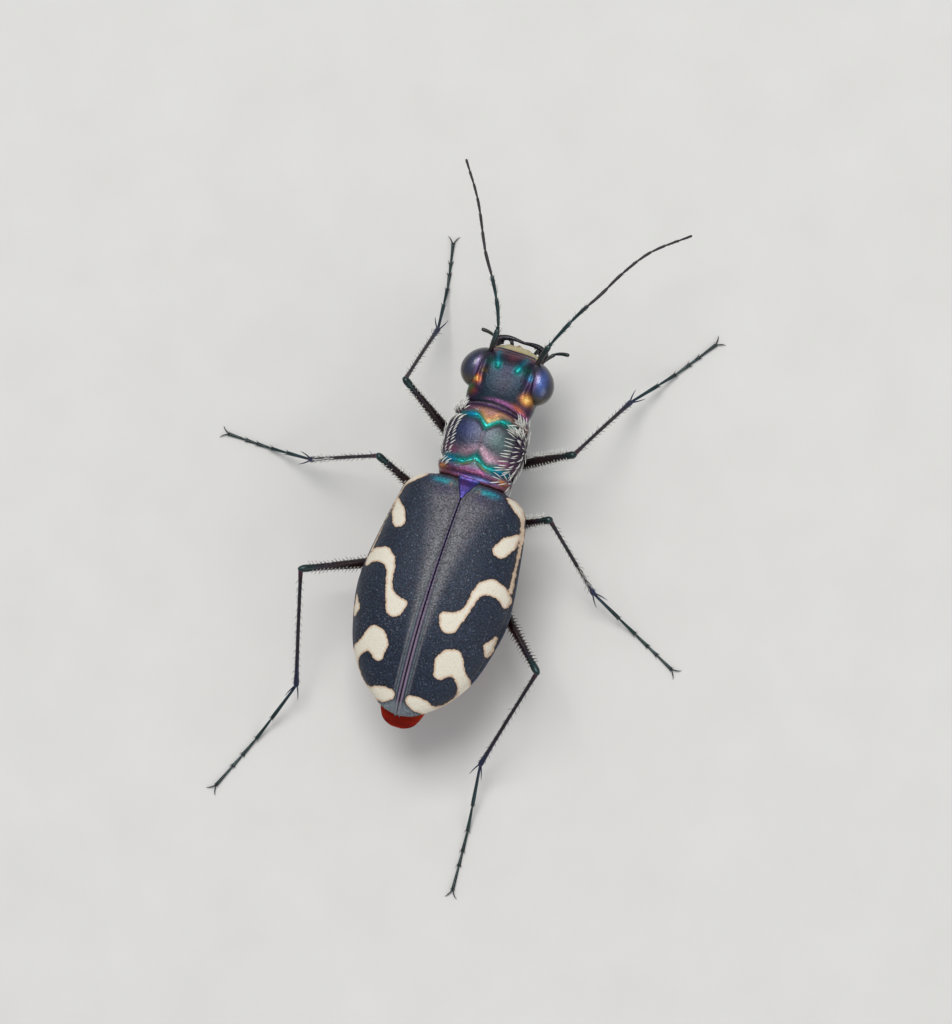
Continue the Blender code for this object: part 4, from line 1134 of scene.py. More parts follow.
def wing_colours(right, forward, up):
    """Charcoal navy with fine lines along the split. The paler, browner patch beside the split at the front and
    the pale grey band beside it further back are painted sheen.
    """
    off, behind = np.abs(right), -forward
    width = smooth(PAINTED_SHEEN_WIDTH, behind)
    painted_sheen = rise(width, width * 0.30, off) * smooth(PAINTED_SHEEN_STRENGTH, behind)
    broken = patchy(off, behind)
    rear = rear_share(behind)
    return layered(
        NAVY, right,
        # painted sheen, pale brown-grey beside the split at the front
        ((0.094, 0.088, 0.100), painted_sheen),
        # painted sheen: a pale grey band beside the split in the middle of the wing cases
        (
            (0.112, 0.112, 0.116),
            0.7 * bell(off - 0.24, 0.13) * rise(0.8, 2.0, behind) * rise(6.0, 3.5, behind),
        ),
        ((0.030, 0.020, 0.060), 0.8 * bell(behind - 0.50, 0.20) * bell(off - 0.60, 0.35)),
        (
            (0.008, 0.110, 0.210),
            bell(behind - 0.23, 0.125) * bell(off - 0.88, 0.42) * rise(0.30, 0.50, off),
        ),
        ((0.008, 0.290, 0.290), 0.95 * broken * bell(behind - 0.24, 0.080) * bell(off - 0.74, 0.36)),
        ((0.300, 0.085, 0.030), 0.5 * spot(off - 0.47, behind - 0.28, 0.07)),
        ((0.034, 0.018, 0.048), 0.8 * bell(off - 1.32, 0.20) * rise(0.6, 0.15, behind)),
        ((0.290, 0.200, 0.300), 0.85 * rear * bell(off - 0.065, 0.030)),
        ((0.020, 0.030, 0.044), 0.85 * rear * bell(off - 0.115, 0.022)),
        ((0.170, 0.220, 0.235), 0.80 * rear * broken * bell(off - 0.165, 0.024)),
        ((0.024, 0.030, 0.046), 0.60 * rear * bell(off - 0.205, 0.016)),
        ((0.200, 0.200, 0.215), 0.75 * rear * broken * bell(off - 0.245, 0.030)),
        ((0.050, 0.022, 0.115), 0.8 * rise(0.055, 0.020, off) * rise(5.6, 3.6, behind)),
        ((0.020, 0.010, 0.030), rise(0.030, 0.012, off)),
        ((0.190, 0.220, 0.240), 0.8 * rise(7.38, 7.66, behind)),
        ((0.012, 0.022, 0.060), rise(3.62, 3.46, up) * rise(7.4, 6.8, behind)),
    )


for case in wing_cases:
    right, forward, up = place_of(points_of(case))
    paint(case, "mark", mark_distance(np.abs(right), -forward))
    paint(case, "calm", 0.8 * rise(0.42, 0.14, np.abs(right)) * rear_share(-forward))
    paint(case, "tint", wing_colours(right, forward, up))
print("marks drawn with", sum(len(stroke) for stroke in MARKS), "discs")

# %% [markdown]
# The limbs are dark, with purple and copper on the thighs, green at the knees, blue at the ends of the shins
# and teal feet. A limb's tint follows how far along it a point is.

# %% Tints of the limbs and the rest
def share_along(points, start_at, end_at):
    """How far along a limb points are, 0 at its root."""
    way = np.array(end_at - start_at)
    return (points - np.array(start_at)) @ way / way.dot(way)


def limb_tint(piece, start_at, end_at, stops):
    """Tints a limb by (share, colour) stops along it, patchily."""
    points = points_of(piece)
    share = share_along(points, start_at, end_at)
    made = np.stack([smooth([(s, c[i]) for s, c in stops], share) for i in range(3)], 1)
    uneven = 1 + 0.35 * np.sin(share * 31 + points[:, 0] * 9) * np.sin(points[:, 2] * 17 + points[:, 1] * 7)
    paint(piece, "tint", np.maximum(made * uneven[:, None], 0.004))


KNEE_GREEN, THIGH_PURPLE, THIGH_COPPER = (0.006, 0.026, 0.026), (0.012, 0.007, 0.014), (0.020, 0.009, 0.009)
SHIN_PURPLE, SHIN_BLUE, FOOT_TEAL = (0.014, 0.009, 0.018), (0.010, 0.016, 0.055), (0.008, 0.028, 0.034)
COPPER_ROOT = (0.040, 0.020, 0.018)
LEG_TINTS = {
    "hip": ((-0.2, (0.030, 0.040, 0.060)), (0.2, THIGH_PURPLE)),
    "thigh": ((0, INK), (0.2, THIGH_PURPLE), (0.6, THIGH_COPPER), (0.82, THIGH_PURPLE), (0.93, KNEE_GREEN)),
    "shin": ((0, (0.07, 0.016, 0.030)), (0.1, SHIN_PURPLE), (0.7, SHIN_PURPLE), (0.95, SHIN_BLUE)),
    "foot": ((0, SHIN_BLUE), (0.15, FOOT_TEAL), (1, (0.010, 0.022, 0.022))),
}
BASE_TINT = (
    (0, COPPER_ROOT), (0.15, (0.014, 0.030, 0.030)), (0.6, (0.010, 0.030, 0.030)), (1, (0.030, 0.016, 0.016)),
)
WHIP_TINT = ((0, (0.024, 0.018, 0.020)), (1, (0.014, 0.011, 0.012)))
CHEEK_PALP_TINT = ((0, (0.030, 0.034, 0.024)), (1, (0.010, 0.018, 0.018)))
LIP_PALP_TINT = (
    (0, (0.62, 0.50, 0.30)), (0.45, (0.50, 0.38, 0.22)), (0.62, (0.03, 0.025, 0.02)), (1, (0.02, 0.02, 0.02)),
)
JAW_TINT = ((0, COPPER_ROOT), (0.4, (0.014, 0.007, 0.013)), (1, INK))

for name, leg in legs.items():
    hip, knee, ankle, toe = leg_places(name)
    ways = {"hip": (hip, knee), "thigh": (hip, knee), "shin": (knee, ankle), "foot": (ankle, toe)}
    for part, way in ways.items():
        limb_tint(leg[part], *way, LEG_TINTS[part])
for index, word in enumerate(("left", "right")):
    root, middle, end = (at(*FEELERS[word][i]) for i in (0, 2, -1))
    limb_tint(feeler_bases[index], root, middle + (middle - root) * 0.6, BASE_TINT)
    limb_tint(feeler_whips[index], middle, end, WHIP_TINT)
    limb_tint(palps[2 * index], at(0.6, 4.0, 2.2), at(1.2, 5.0, 2.0), CHEEK_PALP_TINT)
    limb_tint(palps[2 * index + 1], at(0.3, 3.9, 2.2), at(0.5, 5.1, 1.9), LIP_PALP_TINT)
    limb_tint(jaws[index], at(0, 4.4, 2.6), at(0, 5.1, 2.6), JAW_TINT)


def lip_colours(right, forward, up):
    """Ivory, tan where it joins the head and brown at its very edge."""
    depth = forward + LABRUM_ARCH * ((right - HEAD_OFFSET) / LABRUM_HALF_WIDTH) ** 2 - LABRUM_ROOT
    return layered(
        (0.380, 0.325, 0.170), right,
        ((0.300, 0.180, 0.075), rise(0.22, 0.10, depth)),
        ((0.180, 0.090, 0.040), 0.9 * rise(0.29, 0.37, depth)),
    )


def chest_colours(right, forward, up):
    """Blue-green and copper over black."""
    return layered(
        (0.020, 0.045, 0.060), right,
        ((0.10, 0.04, 0.02), 0.6 * bell(np.abs(right) - 1.2, 0.35) * (0.5 + 0.5 * np.sin(forward * 5))),
        ((0.02, 0.10, 0.07), 0.5 * bell(right, 0.4)),
    )


def belly_colours(right, forward, up):
    """Red-orange, darker at the rear edge of each plate."""
    behind = -forward
    within = ((behind - ABDOMEN_START) / PLATE_LENGTH) % 1
    return layered(
        (0.220, 0.010, 0.004), right,
        ((0.10, 0.006, 0.004), 0.75 * rise(0.80, 0.97, within) + 0.6 * rise(0.10, 0.0, within)),
        ((0.420, 0.040, 0.006), 0.7 * bell(within - 0.45, 0.2) * patchy(right, behind)),
        ((0.10, 0.020, 0.012), 0.7 * rise(3.4, 3.0, behind)),
    )


def eye_colours(right, forward, up):
    """Violet near the head, brown-black outside and below, with painted reflections: sky as a blue-violet band
    on top, bright on the right eye and dim on the left, and brown ground at the rear.
    """
    outside = np.abs(right - HEAD_OFFSET)
    # band: where the painted reflection of the sky lies on top of each eye
    band = bell(outside - 1.20, 0.17) * rise(3.3, 3.65, up) * bell(forward - 3.75, 0.42)
    return layered(
        (0.014, 0.014, 0.021), right,
        # painted reflection of the sky: bright blue on the right eye, dim on the left
        ((0.048, 0.090, 0.300), 0.95 * band * (right > 0)),
        ((0.018, 0.024, 0.062), 0.95 * band * (right < 0)),
        ((0.120, 0.070, 0.190), 0.9 * bell(outside - 1.00, 0.06) * bell(forward - 3.72, 0.34)),
        # painted reflection of the brown ground on the rear of each eye
        ((0.060, 0.046, 0.026), 0.85 * rise(3.42, 3.20, forward)),
    )


tint(lip, lip_colours)
tint(chest, chest_colours)
tint(belly, belly_colours)
for eye in eyes:
    tint(eye, eye_colours)
print("tinted the limbs, mouth and underside")

# %% [markdown]
# Shader maths reads best as maths. A Wire stands for one socket of a material, and adding or multiplying
# wires adds Math nodes. A Recipe makes every node of one material by a single method, and its place is the
# point's place in millimetres, so a grain of 40 means 40 grains to the millimetre.

# %% Shader tools
class Wire:
    """A socket that adds and multiplies like a number."""

    def __init__(self, recipe, socket):
        self.recipe, self.socket = recipe, socket

    def maths(self, operation, first, second):
        return self.recipe.node("Math", {"operation": operation}, {0: first, 1: second})

    def __add__(self, other):
        return self.maths("ADD", self, other)

    def __radd__(self, other):
        return self.maths("ADD", other, self)

    def __sub__(self, other):
        return self.maths("SUBTRACT", self, other)

    def __rsub__(self, other):
        return self.maths("SUBTRACT", other, self)

    def __mul__(self, other):
        return self.maths("MULTIPLY", self, other)

    def __rmul__(self, other):
        return self.maths("MULTIPLY", other, self)


class Recipe:
    """One material and the nodes that it is made of."""

    def __init__(self, name):
        self.material = bpy.data.materials.new(name)
        self.material.use_nodes = True
        self.nodes, self.links = self.material.node_tree.nodes, self.material.node_tree.links
        self.shader = self.nodes["Principled BSDF"]
        metres = self.node("TexCoord", out="Object")
        sockets = {0: metres, 1: (1 / MM,) * 3, 2: (-MIDLINE / MM, -BASE / MM, 0)}
        self.place = self.node("VectorMath", {"operation": "MULTIPLY_ADD"}, sockets)

    def node(self, kind, settings=None, sockets=None, out=0):
        """Any node: its settings first, then the values or wires of its sockets."""
        made = self.nodes.new("ShaderNode" + kind)
        for name, value in (settings or {}).items():
            setattr(made, name, value)
        for name, value in (sockets or {}).items():
            if isinstance(value, Wire):
                self.links.new(value.socket, made.inputs[name])
            else:
                made.inputs[name].default_value = value
        return Wire(self, made.outputs[out])

    def noise(self, grain, detail):
        """Cloudy noise round 0.5, so many grains to the millimetre."""
        return self.node("TexNoise", {}, {"Vector": self.place, "Scale": grain, "Detail": detail})

    def cells(self, grain):
        """Distance from the middle of the nearest cell."""
        return self.node("TexVoronoi", {}, {"Vector": self.place, "Scale": grain}, "Distance")

    def painted(self, name, out="Fac"):
        """What was painted on the points."""
        return self.node("Attribute", {"attribute_name": name}, {}, out)

    def step(self, low, high, value):
        """A smooth step from 0 at low to 1 at high."""
        sockets = {"Value": value, "From Min": low, "From Max": high}
        return self.node("MapRange", {"interpolation_type": "SMOOTHSTEP"}, sockets)

    def mix(self, share, first, second):
        """The first colour, or the second where share is 1."""
        return self.node("Mix", {"data_type": "RGBA"}, {0: share, 6: first, 7: second}, 2)

    def dim(self, colour, share):
        """A colour made darker or brighter by a number."""
        return self.node("VectorMath", {"operation": "SCALE"}, {0: colour, "Scale": share})

    def bumps(self, *layers):
        """A normal from (height, depth in millimetres) layers."""
        normal = None
        for height, depth in layers:
            sockets = {"Height": height, "Distance": depth * MM, "Strength": 1.0}
            if normal:
                sockets["Normal"] = normal
            normal = self.node("Bump", {}, sockets)
        return normal

    def done(self, **sockets):
        """Sets or links the shader's own sockets, and gives the material."""
        for name, value in sockets.items():
            socket = self.shader.inputs[name.replace("_", " ")]
            if isinstance(value, Wire):
                self.links.new(value.socket, socket)
            else:
                socket.default_value = value
        return self.material


# %% [markdown]
# Head, pronotum and scutellum are metal-like: the tint is also the colour of the shine. Under a lens their
# skin is a mesh of tiny scales with shallow wrinkles, which breaks the shine up into a satin glow.

# %% Shield finish
def metal_finish(name, wrinkle=0.007, metallic=0.86, rough=0.30, grain=34, coat=0.05):
    """A structural-coloured skin with scales and wrinkles."""
    r = Recipe(name)
    scales, wrinkles, mottle = r.cells(grain), r.noise(9, 4), r.noise(3.2, 5)
    speckle = r.noise(60, 2)
    flecks = r.step(0.34, 0.66, r.noise(21, 3))
    colour = r.dim(r.painted("tint", "Color"), 0.36 + mottle * 0.70 + flecks * 0.50)
    normal = r.bumps((scales, 0.0065), (wrinkles, wrinkle))
    return r.done(
        Base_Color=colour, Metallic=metallic, Roughness=rough + 0.28 * (speckle - 0.35), Normal=normal,
        Coat_Weight=coat, Coat_Roughness=0.18,
    )


shield_finish = metal_finish("shield finish")
print("made", shield_finish.name)

# %% [markdown]
# The wing cases are duller: a velvety dark ground with close-set grains and small sunk dots of blue-green.
# The ivory marks are smooth and without metal. Noise roughens their edges, a dark line runs round them and
# their rims are a little peachy. Beside the split the skin is calmer.

# %% Wing case finish
def make_wing_finish():
    """Dark grained ground and ivory marks."""
    r = Recipe("wing case finish")
    ragged = r.painted("mark") + (r.noise(11, 3) - 0.5) * 0.085 + (r.noise(42, 2) - 0.5) * 0.035
    ivory = r.step(0.014, -0.014, ragged)
    outline = r.step(0.085, 0.012, ragged) * (1 - ivory)
    grains, dots, pale = r.cells(26), r.cells(9.5), r.noise(70, 2)
    pits = r.step(0.30, 0.16, dots)
    rough = 1 - r.painted("calm")
    flecks = 0.5 + (r.step(0.36, 0.64, r.noise(17, 3)) - 0.5) * rough
    ground = r.dim(r.painted("tint", "Color"), 0.22 + r.noise(2.4, 5) * 0.52 + flecks * 1.02)
    ground = r.mix(pits * 0.45 * rough, ground, (0.012, 0.075, 0.092, 1))
    ground = r.mix(r.step(0.60, 0.72, r.noise(16, 2)) * 0.45 * rough, ground, (0.21, 0.23, 0.26, 1))
    ground = r.mix(outline * 0.65, ground, (0.012, 0.009, 0.012, 1))
    cream = r.mix(r.step(-0.090, 0.0, ragged), (0.710, 0.650, 0.530, 1), (0.560, 0.390, 0.260, 1))
    cream = r.dim(cream, 0.88 + r.noise(16, 3) * 0.24)
    normal = r.bumps((grains, 0.0110), (1 - pits, 0.006), (r.noise(5, 3), 0.006))
    return r.done(
        Base_Color=r.mix(ivory, ground, cream), Metallic=0.34 * (1 - ivory),
        Roughness=0.38 + pale * 0.16 + ivory * 0.08, Normal=normal, Specular_IOR_Level=0.45,
    )


wing_finish = make_wing_finish()
print("made", wing_finish.name)

# %% [markdown]
# The other finishes use the same few moves. Eyes are glass-like over six-sided lenses, the lip is smooth and
# bone-like, limbs are hard and shiny with long fine grooves, and the belly is glossy red over fine pores.

# %% Other finishes
def make_eye_finish():
    """Dark violet lenses under a clear coat."""
    r = Recipe("eye finish")
    lenses = r.cells(30)
    band = r.noise(2.2, 2)
    colour = r.dim(r.painted("tint", "Color"), 0.04 + band * 0.9 + r.noise(7, 3) * 0.95 + lenses * 0.4)
    normal = r.bumps((1 - lenses, 0.006))
    return r.done(
        Base_Color=colour, Metallic=0.40, Roughness=0.22 + 0.10 * r.noise(8, 2), Normal=normal,
        Coat_Weight=0.65, Coat_Roughness=0.10,
    )


def smooth_finish(name, rough=0.38, grain=20, depth=0.003, coat=0.15, shine=0.5):
    """A hard smooth skin without metal, faintly mottled."""
    r = Recipe(name)
    colour = r.dim(r.painted("tint", "Color"), 0.80 + 0.40 * r.noise(7, 4))
    roughness = rough + 0.2 * (r.noise(25, 2) - 0.5)
    normal = r.bumps((r.cells(grain), depth), (r.noise(6, 3), 0.006))
    return r.done(
        Base_Color=colour, Roughness=roughness, Normal=normal,
        Coat_Weight=coat, Coat_Roughness=0.15, Specular_IOR_Level=shine,
    )


def hair_finish(name, root, tip):
    """A hair: its colour goes from root to tip along its own length."""
    r = Recipe(name)
    colour = r.mix(r.painted("along"), (*root, 1), (*tip, 1))
    return r.done(Base_Color=r.dim(colour, 0.85 + 0.3 * r.noise(12, 2)), Roughness=0.42)


finishes = {
    "shield": shield_finish,
    "wing": wing_finish,
    "eye": make_eye_finish(),
    "lip": smooth_finish("lip finish", 0.36),
    "belly": smooth_finish("belly finish", 0.50, 30, 0.004, 0.0, 0.05),
    "limb": metal_finish("limb finish", 0.006, 0.55, 0.26, 30, 0.25),
    "dull": metal_finish("dull feeler finish", 0.004, 0.10, 0.55, 45, 0.0),
    "chest": metal_finish("chest finish", 0.014, 0.60, 0.32, 18, 0.10),
    "white hair": hair_finish("white hair finish", (0.52, 0.50, 0.44), (0.90, 0.89, 0.84)),
    "bristle": hair_finish("bristle finish", (0.020, 0.014, 0.018), (0.070, 0.045, 0.035)),
}
print("finishes:", ", ".join(finishes))

# %% [markdown]
# The hairs are solid. One is modelled, a three-sided rod that thins to its tip, and copied to every root with
# its own length, lean and bend. Roots are found on the finished skins, and each hair starts a little inside.

# %% One hair
def model_hair():
    """The points and triangles of one straight hair, 1 long and 1 in radius at its root."""
    hair = start("hair", bpy.ops.mesh.primitive_circle_add, vertices=3, radius=1, fill_type="NGON")
    open_up(hair)
    height = 0.0
    for step, size in ((0.42, 0.88), (0.33, 0.66), (0.25, 0.12)):
        height += step
        bpy.ops.mesh.extrude_region_move(TRANSFORM_OT_translate={"value": (0, 0, step)})
        bpy.ops.transform.resize(value=(size, size, 1), center_override=(0, 0, height))
    bpy.ops.mesh.select_all(action="SELECT")
    bpy.ops.mesh.quads_convert_to_tris()
    bpy.ops.mesh.normals_make_consistent(inside=False)
    bpy.ops.object.mode_set(mode="OBJECT")
    points = points_of(hair)
    faces = np.array([list(p.vertices) for p in hair.data.polygons])
    bpy.data.objects.remove(hair)
    return points, faces


HAIR_POINTS, HAIR_FACES = model_hair()
PATCH = 0.003
SUNK = 0.02


def plant(name, rows):
    """One piece of many hairs. A row is (root, way, bend, length, radius, spot on the skin's unwrap)."""
    roots, ways, bends = (np.array([row[i] for row in rows], float)[:, None] for i in (0, 1, 2))
    lengths, radii = (np.array([row[i] for row in rows], float)[:, None, None] for i in (3, 4))
    ways /= np.linalg.norm(ways, axis=-1, keepdims=True)
    side = np.cross(ways, (0.31, 0.22, 0.92))
    side /= np.linalg.norm(side, axis=-1, keepdims=True)
    over = np.cross(ways, side)
    wide, deep, up = (HAIR_POINTS[None, :, i, None] for i in range(3))
    points = roots + lengths * (ways * up + bends * up ** 2) + radii * (side * wide + over * deep)
    points[..., 2] = np.maximum(points[..., 2], LOWEST)
    count = len(HAIR_POINTS)
    faces = (HAIR_FACES[None] + (np.arange(len(rows)) * count)[:, None, None]).reshape(-1, 3)
    mesh = bpy.data.meshes.new(name)
    mesh.from_pydata(points.reshape(-1, 3).tolist(), [], faces.tolist())
    piece = bpy.data.objects.new(name, mesh)
    bpy.context.scene.collection.objects.link(piece)
    paint(piece, "along", np.tile(HAIR_POINTS[:, 2], len(rows)))
    spots = np.array([row[5] for row in rows], float)[:, None]
    patch = np.stack([HAIR_POINTS[:, 0], HAIR_POINTS[:, 2] * 2 - 1], 1)[None] * PATCH / 2
    corners = (spots + patch).reshape(-1, 2)[faces.ravel()]
    mesh.uv_layers.new(name="OFBake").data.foreach_set("uv", corners.astype(np.float32).ravel())
    outward(piece)
    print(f"{name}: {len(rows)} hairs, {len(faces)} triangles")
    return piece


def on_skin(piece, guess):
    """The nearest place on a piece's skin and the way out of it."""
    _, place, normal, _ = piece.closest_point_on_mesh(Vector(guess))
    return np.array(place), np.array(normal)


def body_spot(place):
    """A place on the unwrap of the trunk: round it, and along it."""
    around = 0.5 + math.atan2(place[0], place[2] - 3.1) / math.tau
    return 0.05 + 0.9 * around, 0.05 + 0.9 * (place[1] + 5.2) / 14


def lean(normal, way, lift):
    """A direction that follows the skin along a way and stands off it by lift."""
    flat = way - normal * normal.dot(way)
    return flat / (np.linalg.norm(flat) + 1e-9) + normal * lift


chance = np.random.default_rng(20)


def wobble(size):
    """A small random change of direction."""
    return chance.normal(0, size, 3)


# %% [markdown]
# White hairs fringe the sides of the pronotum. On the right they lie inwards in two or three rows, on the
# left they slant forward, and a dense tuft stands at the front right corner. Flanks and hips carry longer
# white hair, the underside less.

# %% Hair of the body
FRINGE_LINES = {
    1: ((1.06, 3.98), (1.22, 3.74), (1.32, 3.46), (1.35, 3.15)),
    -1: ((1.04, 4.00), (1.18, 3.82), (1.29, 3.58), (1.35, 3.30)),
}
FRINGE_WAY = {1: (-1, -0.10, 0.25), -1: (0.90, 0.75, 0.60)}
FRINGE_SIZE = {1: (0.40, 0.54, 0.028), -1: (0.26, 0.36, 0.025)}
FRINGE_SPACING = 0.125


def fringe(side):
    """The white fringe along one side of the pronotum."""
    rows = []
    shortest, longest, radius = FRINGE_SIZE[side]
    for line, (right, height) in enumerate(FRINGE_LINES[side]):
        for forward in np.arange(0.24, 2.42, FRINGE_SPACING):
            fall = float(front_arch(1.1, length_share(forward) ** 3))
            guess = at(side * right, forward - fall + 0.065 * (line % 2) + chance.normal(0, 0.014), height)
            place, normal = on_skin(pronotum, guess)
            way = lean(normal, np.array(at(*FRINGE_WAY[side])), 0.40) + wobble(0.06)
            length = chance.uniform(shortest, longest)
            rows.append((place - normal * SUNK, way, -normal * 0.18, length, radius, body_spot(place)))
    return rows


def scattered(piece, count, box_low, box_high, way, lift, lengths, radius):
    """Hairs at random places of a piece's skin inside a box of (right, forward, up) corners."""
    rows = []
    for _ in range(count):
        guess = at(*(chance.uniform(*sorted(ends)) for ends in zip(box_low, box_high)))
        place, normal = on_skin(piece, guess)
        turned_way = lean(normal, np.array(at(*way)), lift) + wobble(0.18)
        length = chance.uniform(*lengths)
        rows.append((place - normal * SUNK, turned_way, -normal * 0.2, length, radius, body_spot(place)))
    return rows


TUFTS = (
    (44, (1.04, 1.86, 3.5), (1.32, 2.40, 4.0), (-0.9, 0.5, 0.3), 0.45, (0.28, 0.44), 0.022),
    (50, (-1.30, 2.02, 3.3), (-0.95, 2.46, 4.0), (0.3, 0.9, 0.5), 0.55, (0.26, 0.40), 0.021),
)
FLANKS = (
    (pronotum, 70, (1.2, 0.3, 2.5), (1.5, 2.3, 3.2), (0, -0.6, -0.8), 0.4, (0.22, 0.36), 0.014),
    (chest, 150, (1.3, -2.9, 2.3), (2.0, -0.2, 3.3), (0, -1, -0.4), 0.35, (0.24, 0.40), 0.014),
    (chest, 50, (0.2, -2.8, 2.0), (1.1, -0.3, 2.2), (0, -1, 0), 0.35, (0.16, 0.30), 0.012),
    (belly, 80, (0.7, -7.6, 2.2), (1.9, -3.2, 3.0), (0, -1, -0.3), 0.25, (0.16, 0.28), 0.011),
    (head, 24, (0.8, 2.8, 2.4), (1.2, 3.4, 3.1), (0, 0.6, -0.8), 0.4, (0.18, 0.30), 0.012),
)

body_rows = fringe(1) + fringe(-1)
for tuft in TUFTS:
    body_rows += scattered(pronotum, *tuft)
for side in (-1, 1):
    for piece, count, (near, *low), (far, *high), *rest in FLANKS:
        body_rows += scattered(piece, count, (side * near, *low), (side * far, *high), *rest)
for name, leg in legs.items():
    (right, forward, _), _ = COXAE[name.split("_")[0]]
    right *= -1 if name.endswith("left") else 1
    low, high = (right - 0.5, forward - 0.45, 1.6), (right + 0.5, forward + 0.45, 2.0)
    body_rows += scattered(leg["hip"], 40, low, high, (0, -0.7, -0.7), 0.45, (0.20, 0.36), 0.013)
body_hair = plant("body_hair", body_rows)

# %% [markdown]
# The limbs carry hair in rows. Thighs have short white hairs, which look like the rungs of a ladder from
# above, and dark bristles as well on the hind pair. Shins have rows of dark bristles, with a pale brush near
# the end of the middle pair, and each foot joint ends in a few.

# %% Hair of the limbs
STRIPS = 24


def limb_row(limb, shares, turn, lengths, radius, lift=0.8, onward=0.5, jitter=0.12, around=0.0):
    """A row of hairs along a limb, at a turn round it from its top in degrees. A limb is (piece, strip of the
    unwrap, start, end)."""
    rows = []
    piece, strip, a, b = limb
    along = (b - a).normalized()
    side = along.cross(UP).normalized()
    over = side.cross(along)
    for share in shares:
        angle = math.radians(turn + chance.normal(0, 5))
        out = side * math.sin(angle) + over * math.cos(angle)
        place, normal = on_skin(piece, a.lerp(b, float(share)) + out * 0.3)
        over_top = np.array(side * math.cos(angle) - over * math.sin(angle))
        way = normal * lift + np.array(along) * onward + over_top * around + wobble(jitter)
        place_on_strip = (strip + 0.1 + 0.8 * (turn % 360) / 360) / STRIPS
        corner = (0.04 + 0.92 * min(max(float(share), 0), 1), place_on_strip)
        length = chance.uniform(*lengths)
        rows.append((place - normal * 0.012, way, np.array(along) * 0.15, length, radius, corner))
    return rows


white_rows, dark_rows = [], []
for index, (name, leg) in enumerate(legs.items()):
    hip, knee, ankle, toe = leg_places(name)
    thigh = (leg["thigh"], 4 * index, hip, knee)
    shin = (leg["shin"], 4 * index + 1, knee, ankle)
    hind = name.startswith("hind")
    count, size, radius = (22, (0.10, 0.17), 0.014) if hind else (17, (0.15, 0.24), 0.021)
    for turn in (-75, -40, 40, 75):
        rows = dark_rows if hind and abs(turn) == 75 else white_rows
        shares = np.linspace(0.22, 0.90, count) + 0.012 * (turn > 0)
        rows += limb_row(thigh, shares, turn, size, radius, jitter=0.06)
    if not hind:
        rungs = np.linspace(0.24, 0.90, 20)
        white_rows += limb_row(thigh, rungs, -62, (0.24, 0.30), 0.022, 0.42, 0.05, jitter=0.05, around=1.0)
    for turn in (150, 210):
        white_rows += limb_row(thigh, np.linspace(0.15, 0.9, 16), turn, (0.12, 0.24), 0.010)
    for turn in (20, 100, 190, 280):
        dark_rows += limb_row(shin, np.linspace(0.10, 0.93, 15), turn, (0.12, 0.20), 0.011, 0.6, 0.8)
    if name.startswith("mid"):
        for turn in (-60, -20, 20, 60):
            white_rows += limb_row(shin, np.linspace(0.62, 0.90, 16), turn, (0.10, 0.17), 0.009, onward=0.6)
    path = smooth_path([ankle, landing_of(ankle, toe), toe], 60)
    for reach in np.cumsum(FOOT_JOINTS):
        near, far = (Vector(p) for p in along_path(path, (max(reach - 0.10, 0), reach)))
        joint = (leg["foot"], 4 * index + 2, near, far)
        for turn in (60, 130, 230, 300):
            dark_rows += limb_row(joint, (0.75, 0.95), turn, (0.08, 0.13), 0.008, lift=0.6, onward=0.8)
for index, word in enumerate(("left", "right")):
    path = feeler_path(word)
    for share in np.linspace(0.02, 0.985, 120):
        near, far = (Vector(p) for p in along_path(path, (max(share - 0.02, 0), share)))
        skin = feeler_bases[index] if share < SHINING_SHARE else feeler_whips[index]
        joint = (skin, 4 * index + 3, near, far)
        turn = float(chance.uniform(0, 360))
        size = (0.10, 0.18) if share < LONG_HAIR_SHARE else (0.05, 0.08)
        dark_rows += limb_row(joint, (1.0,), turn, size, 0.0075, lift=0.6, onward=0.8)

BROW_BRISTLES = ((0.62, 3.55), (0.60, 4.00), (-0.54, 3.55), (-0.52, 4.00))
for right, forward in BROW_BRISTLES:
    place, normal = on_skin(head, at(right, forward, 4.2))
    way, bend = normal + np.array(at(0, 0.5, 0)), np.array(at(0, 0.3, 0))
    dark_rows.append((place - normal * SUNK, way, bend, 0.42, 0.011, (0.5, 0.98)))
for side in np.linspace(-0.85, 0.85, 8):
    guess = at(HEAD_OFFSET + LABRUM_HALF_WIDTH * side, 4.70 - LABRUM_ARCH * side ** 2, 3.2)
    place, normal = on_skin(lip, guess)
    way, bend = np.array(at(side * 0.4, 1, 0.25)), np.array(at(0, 0, -0.25))
    white_rows.append((place - normal * 0.015, way, bend, 0.17, 0.006, (0.5, 0.99)))
limb_hair = plant("limb_hair", white_rows)
bristles = plant("bristles", dark_rows)

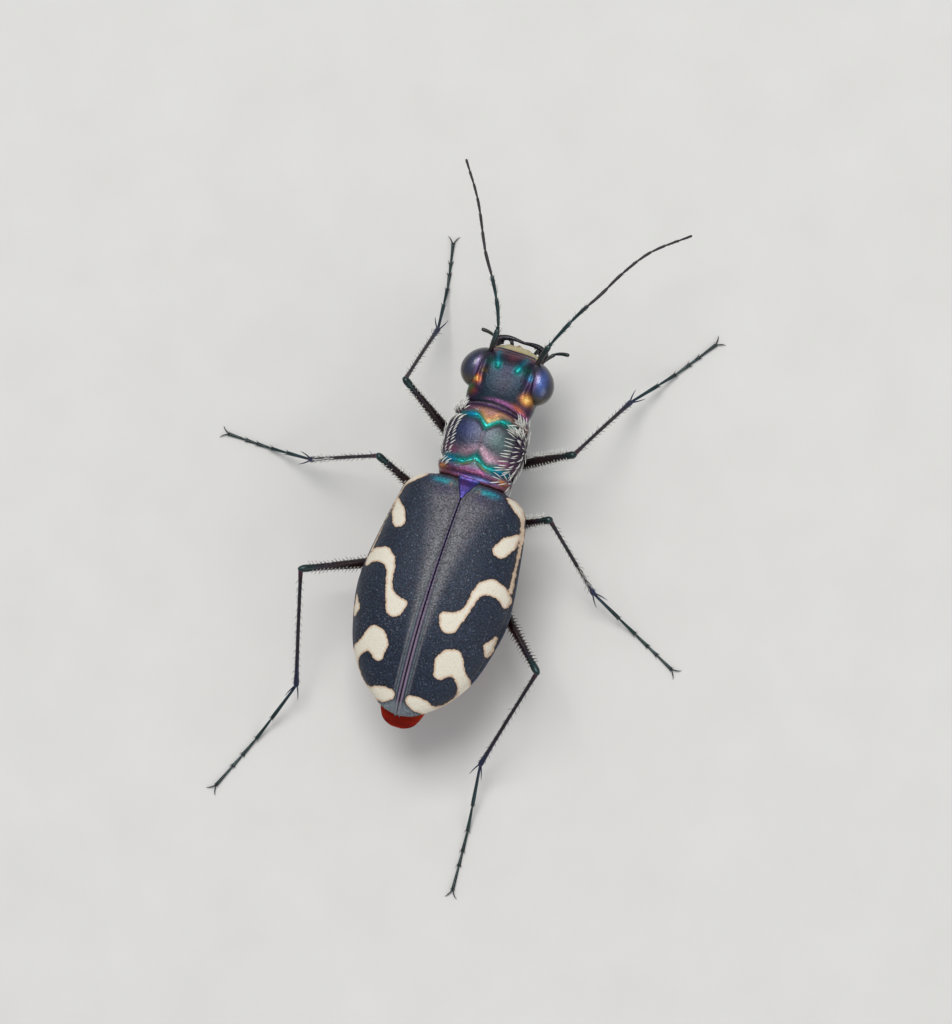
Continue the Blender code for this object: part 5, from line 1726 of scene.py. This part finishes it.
# %% [markdown]
# Last, each piece is scaled to metres and moved onto its solid, which it then stands for. The floor is plain
# and isn't part of the beetle.

# %% Into the frame
def settle(piece, finish, slot, *nodes):
    """Gives a finished piece its material and its place in metres, where it stands for its solids."""
    alone()
    piece.data.materials.clear()
    piece.data.materials.append(finishes[finish])
    piece.data.transform(PLACE)
    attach(piece, "root")
    if nodes:
        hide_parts(*nodes)


for piece, finish, slot, node in (
    (pronotum, "shield", "bronze_cuticle", "pronotum"),
    (head, "shield", "bronze_cuticle", "head"),
    (scutellum, "shield", "bronze_cuticle", "scutellum"),
    (lip, "lip", "cream_cuticle", "labrum"),
    (chest, "chest", "black_cuticle", "thorax"),
    (belly, "belly", "red_abdomen", "abdomen"),
):
    settle(piece, finish, slot, node)
for index, word in enumerate(("left", "right")):
    settle(eyes[index], "eye", "eye", f"eye_{word}")
    settle(jaws[index], "limb", "black_cuticle", f"mandible_{word}")
    settle(palps[2 * index], "limb", "green_leg", f"palp_maxillary_{word}")
    settle(palps[2 * index + 1], "lip", "cream_cuticle", f"palp_labial_{word}")
    settle(feeler_bases[index], "limb", "green_leg", f"antenna_{word}_base")
    settle(feeler_whips[index], "dull", "brown_antenna", f"antenna_{word}_whip")
    settle(wing_cases[index], "wing", "elytra", f"elytron_{word}")
LEG_LOOKS = {
    "hip": ("chest", "black_cuticle", "coxa"),
    "thigh": ("limb", "black_cuticle", "femur"),
    "shin": ("limb", "black_cuticle", "tibia"),
    "foot": ("limb", "green_leg", "tarsus"),
}
for name, leg in legs.items():
    for part, (finish, slot, node) in LEG_LOOKS.items():
        settle(leg[part], finish, slot, f"{node}_{name}")
settle(body_hair, "white hair", "white_hair")
settle(limb_hair, "white hair", "white_hair")
settle(bristles, "bristle", "black_cuticle")

# %% Floor
floor = start("floor", bpy.ops.mesh.primitive_plane_add, size=1.2)
ground = Recipe("floor finish")
ground_colour = ground.mix(ground.noise(0.4, 4), (0.60, 0.585, 0.555, 1), (0.66, 0.645, 0.615, 1))
floor.data.materials.append(ground.done(Base_Color=ground_colour, Roughness=0.85))
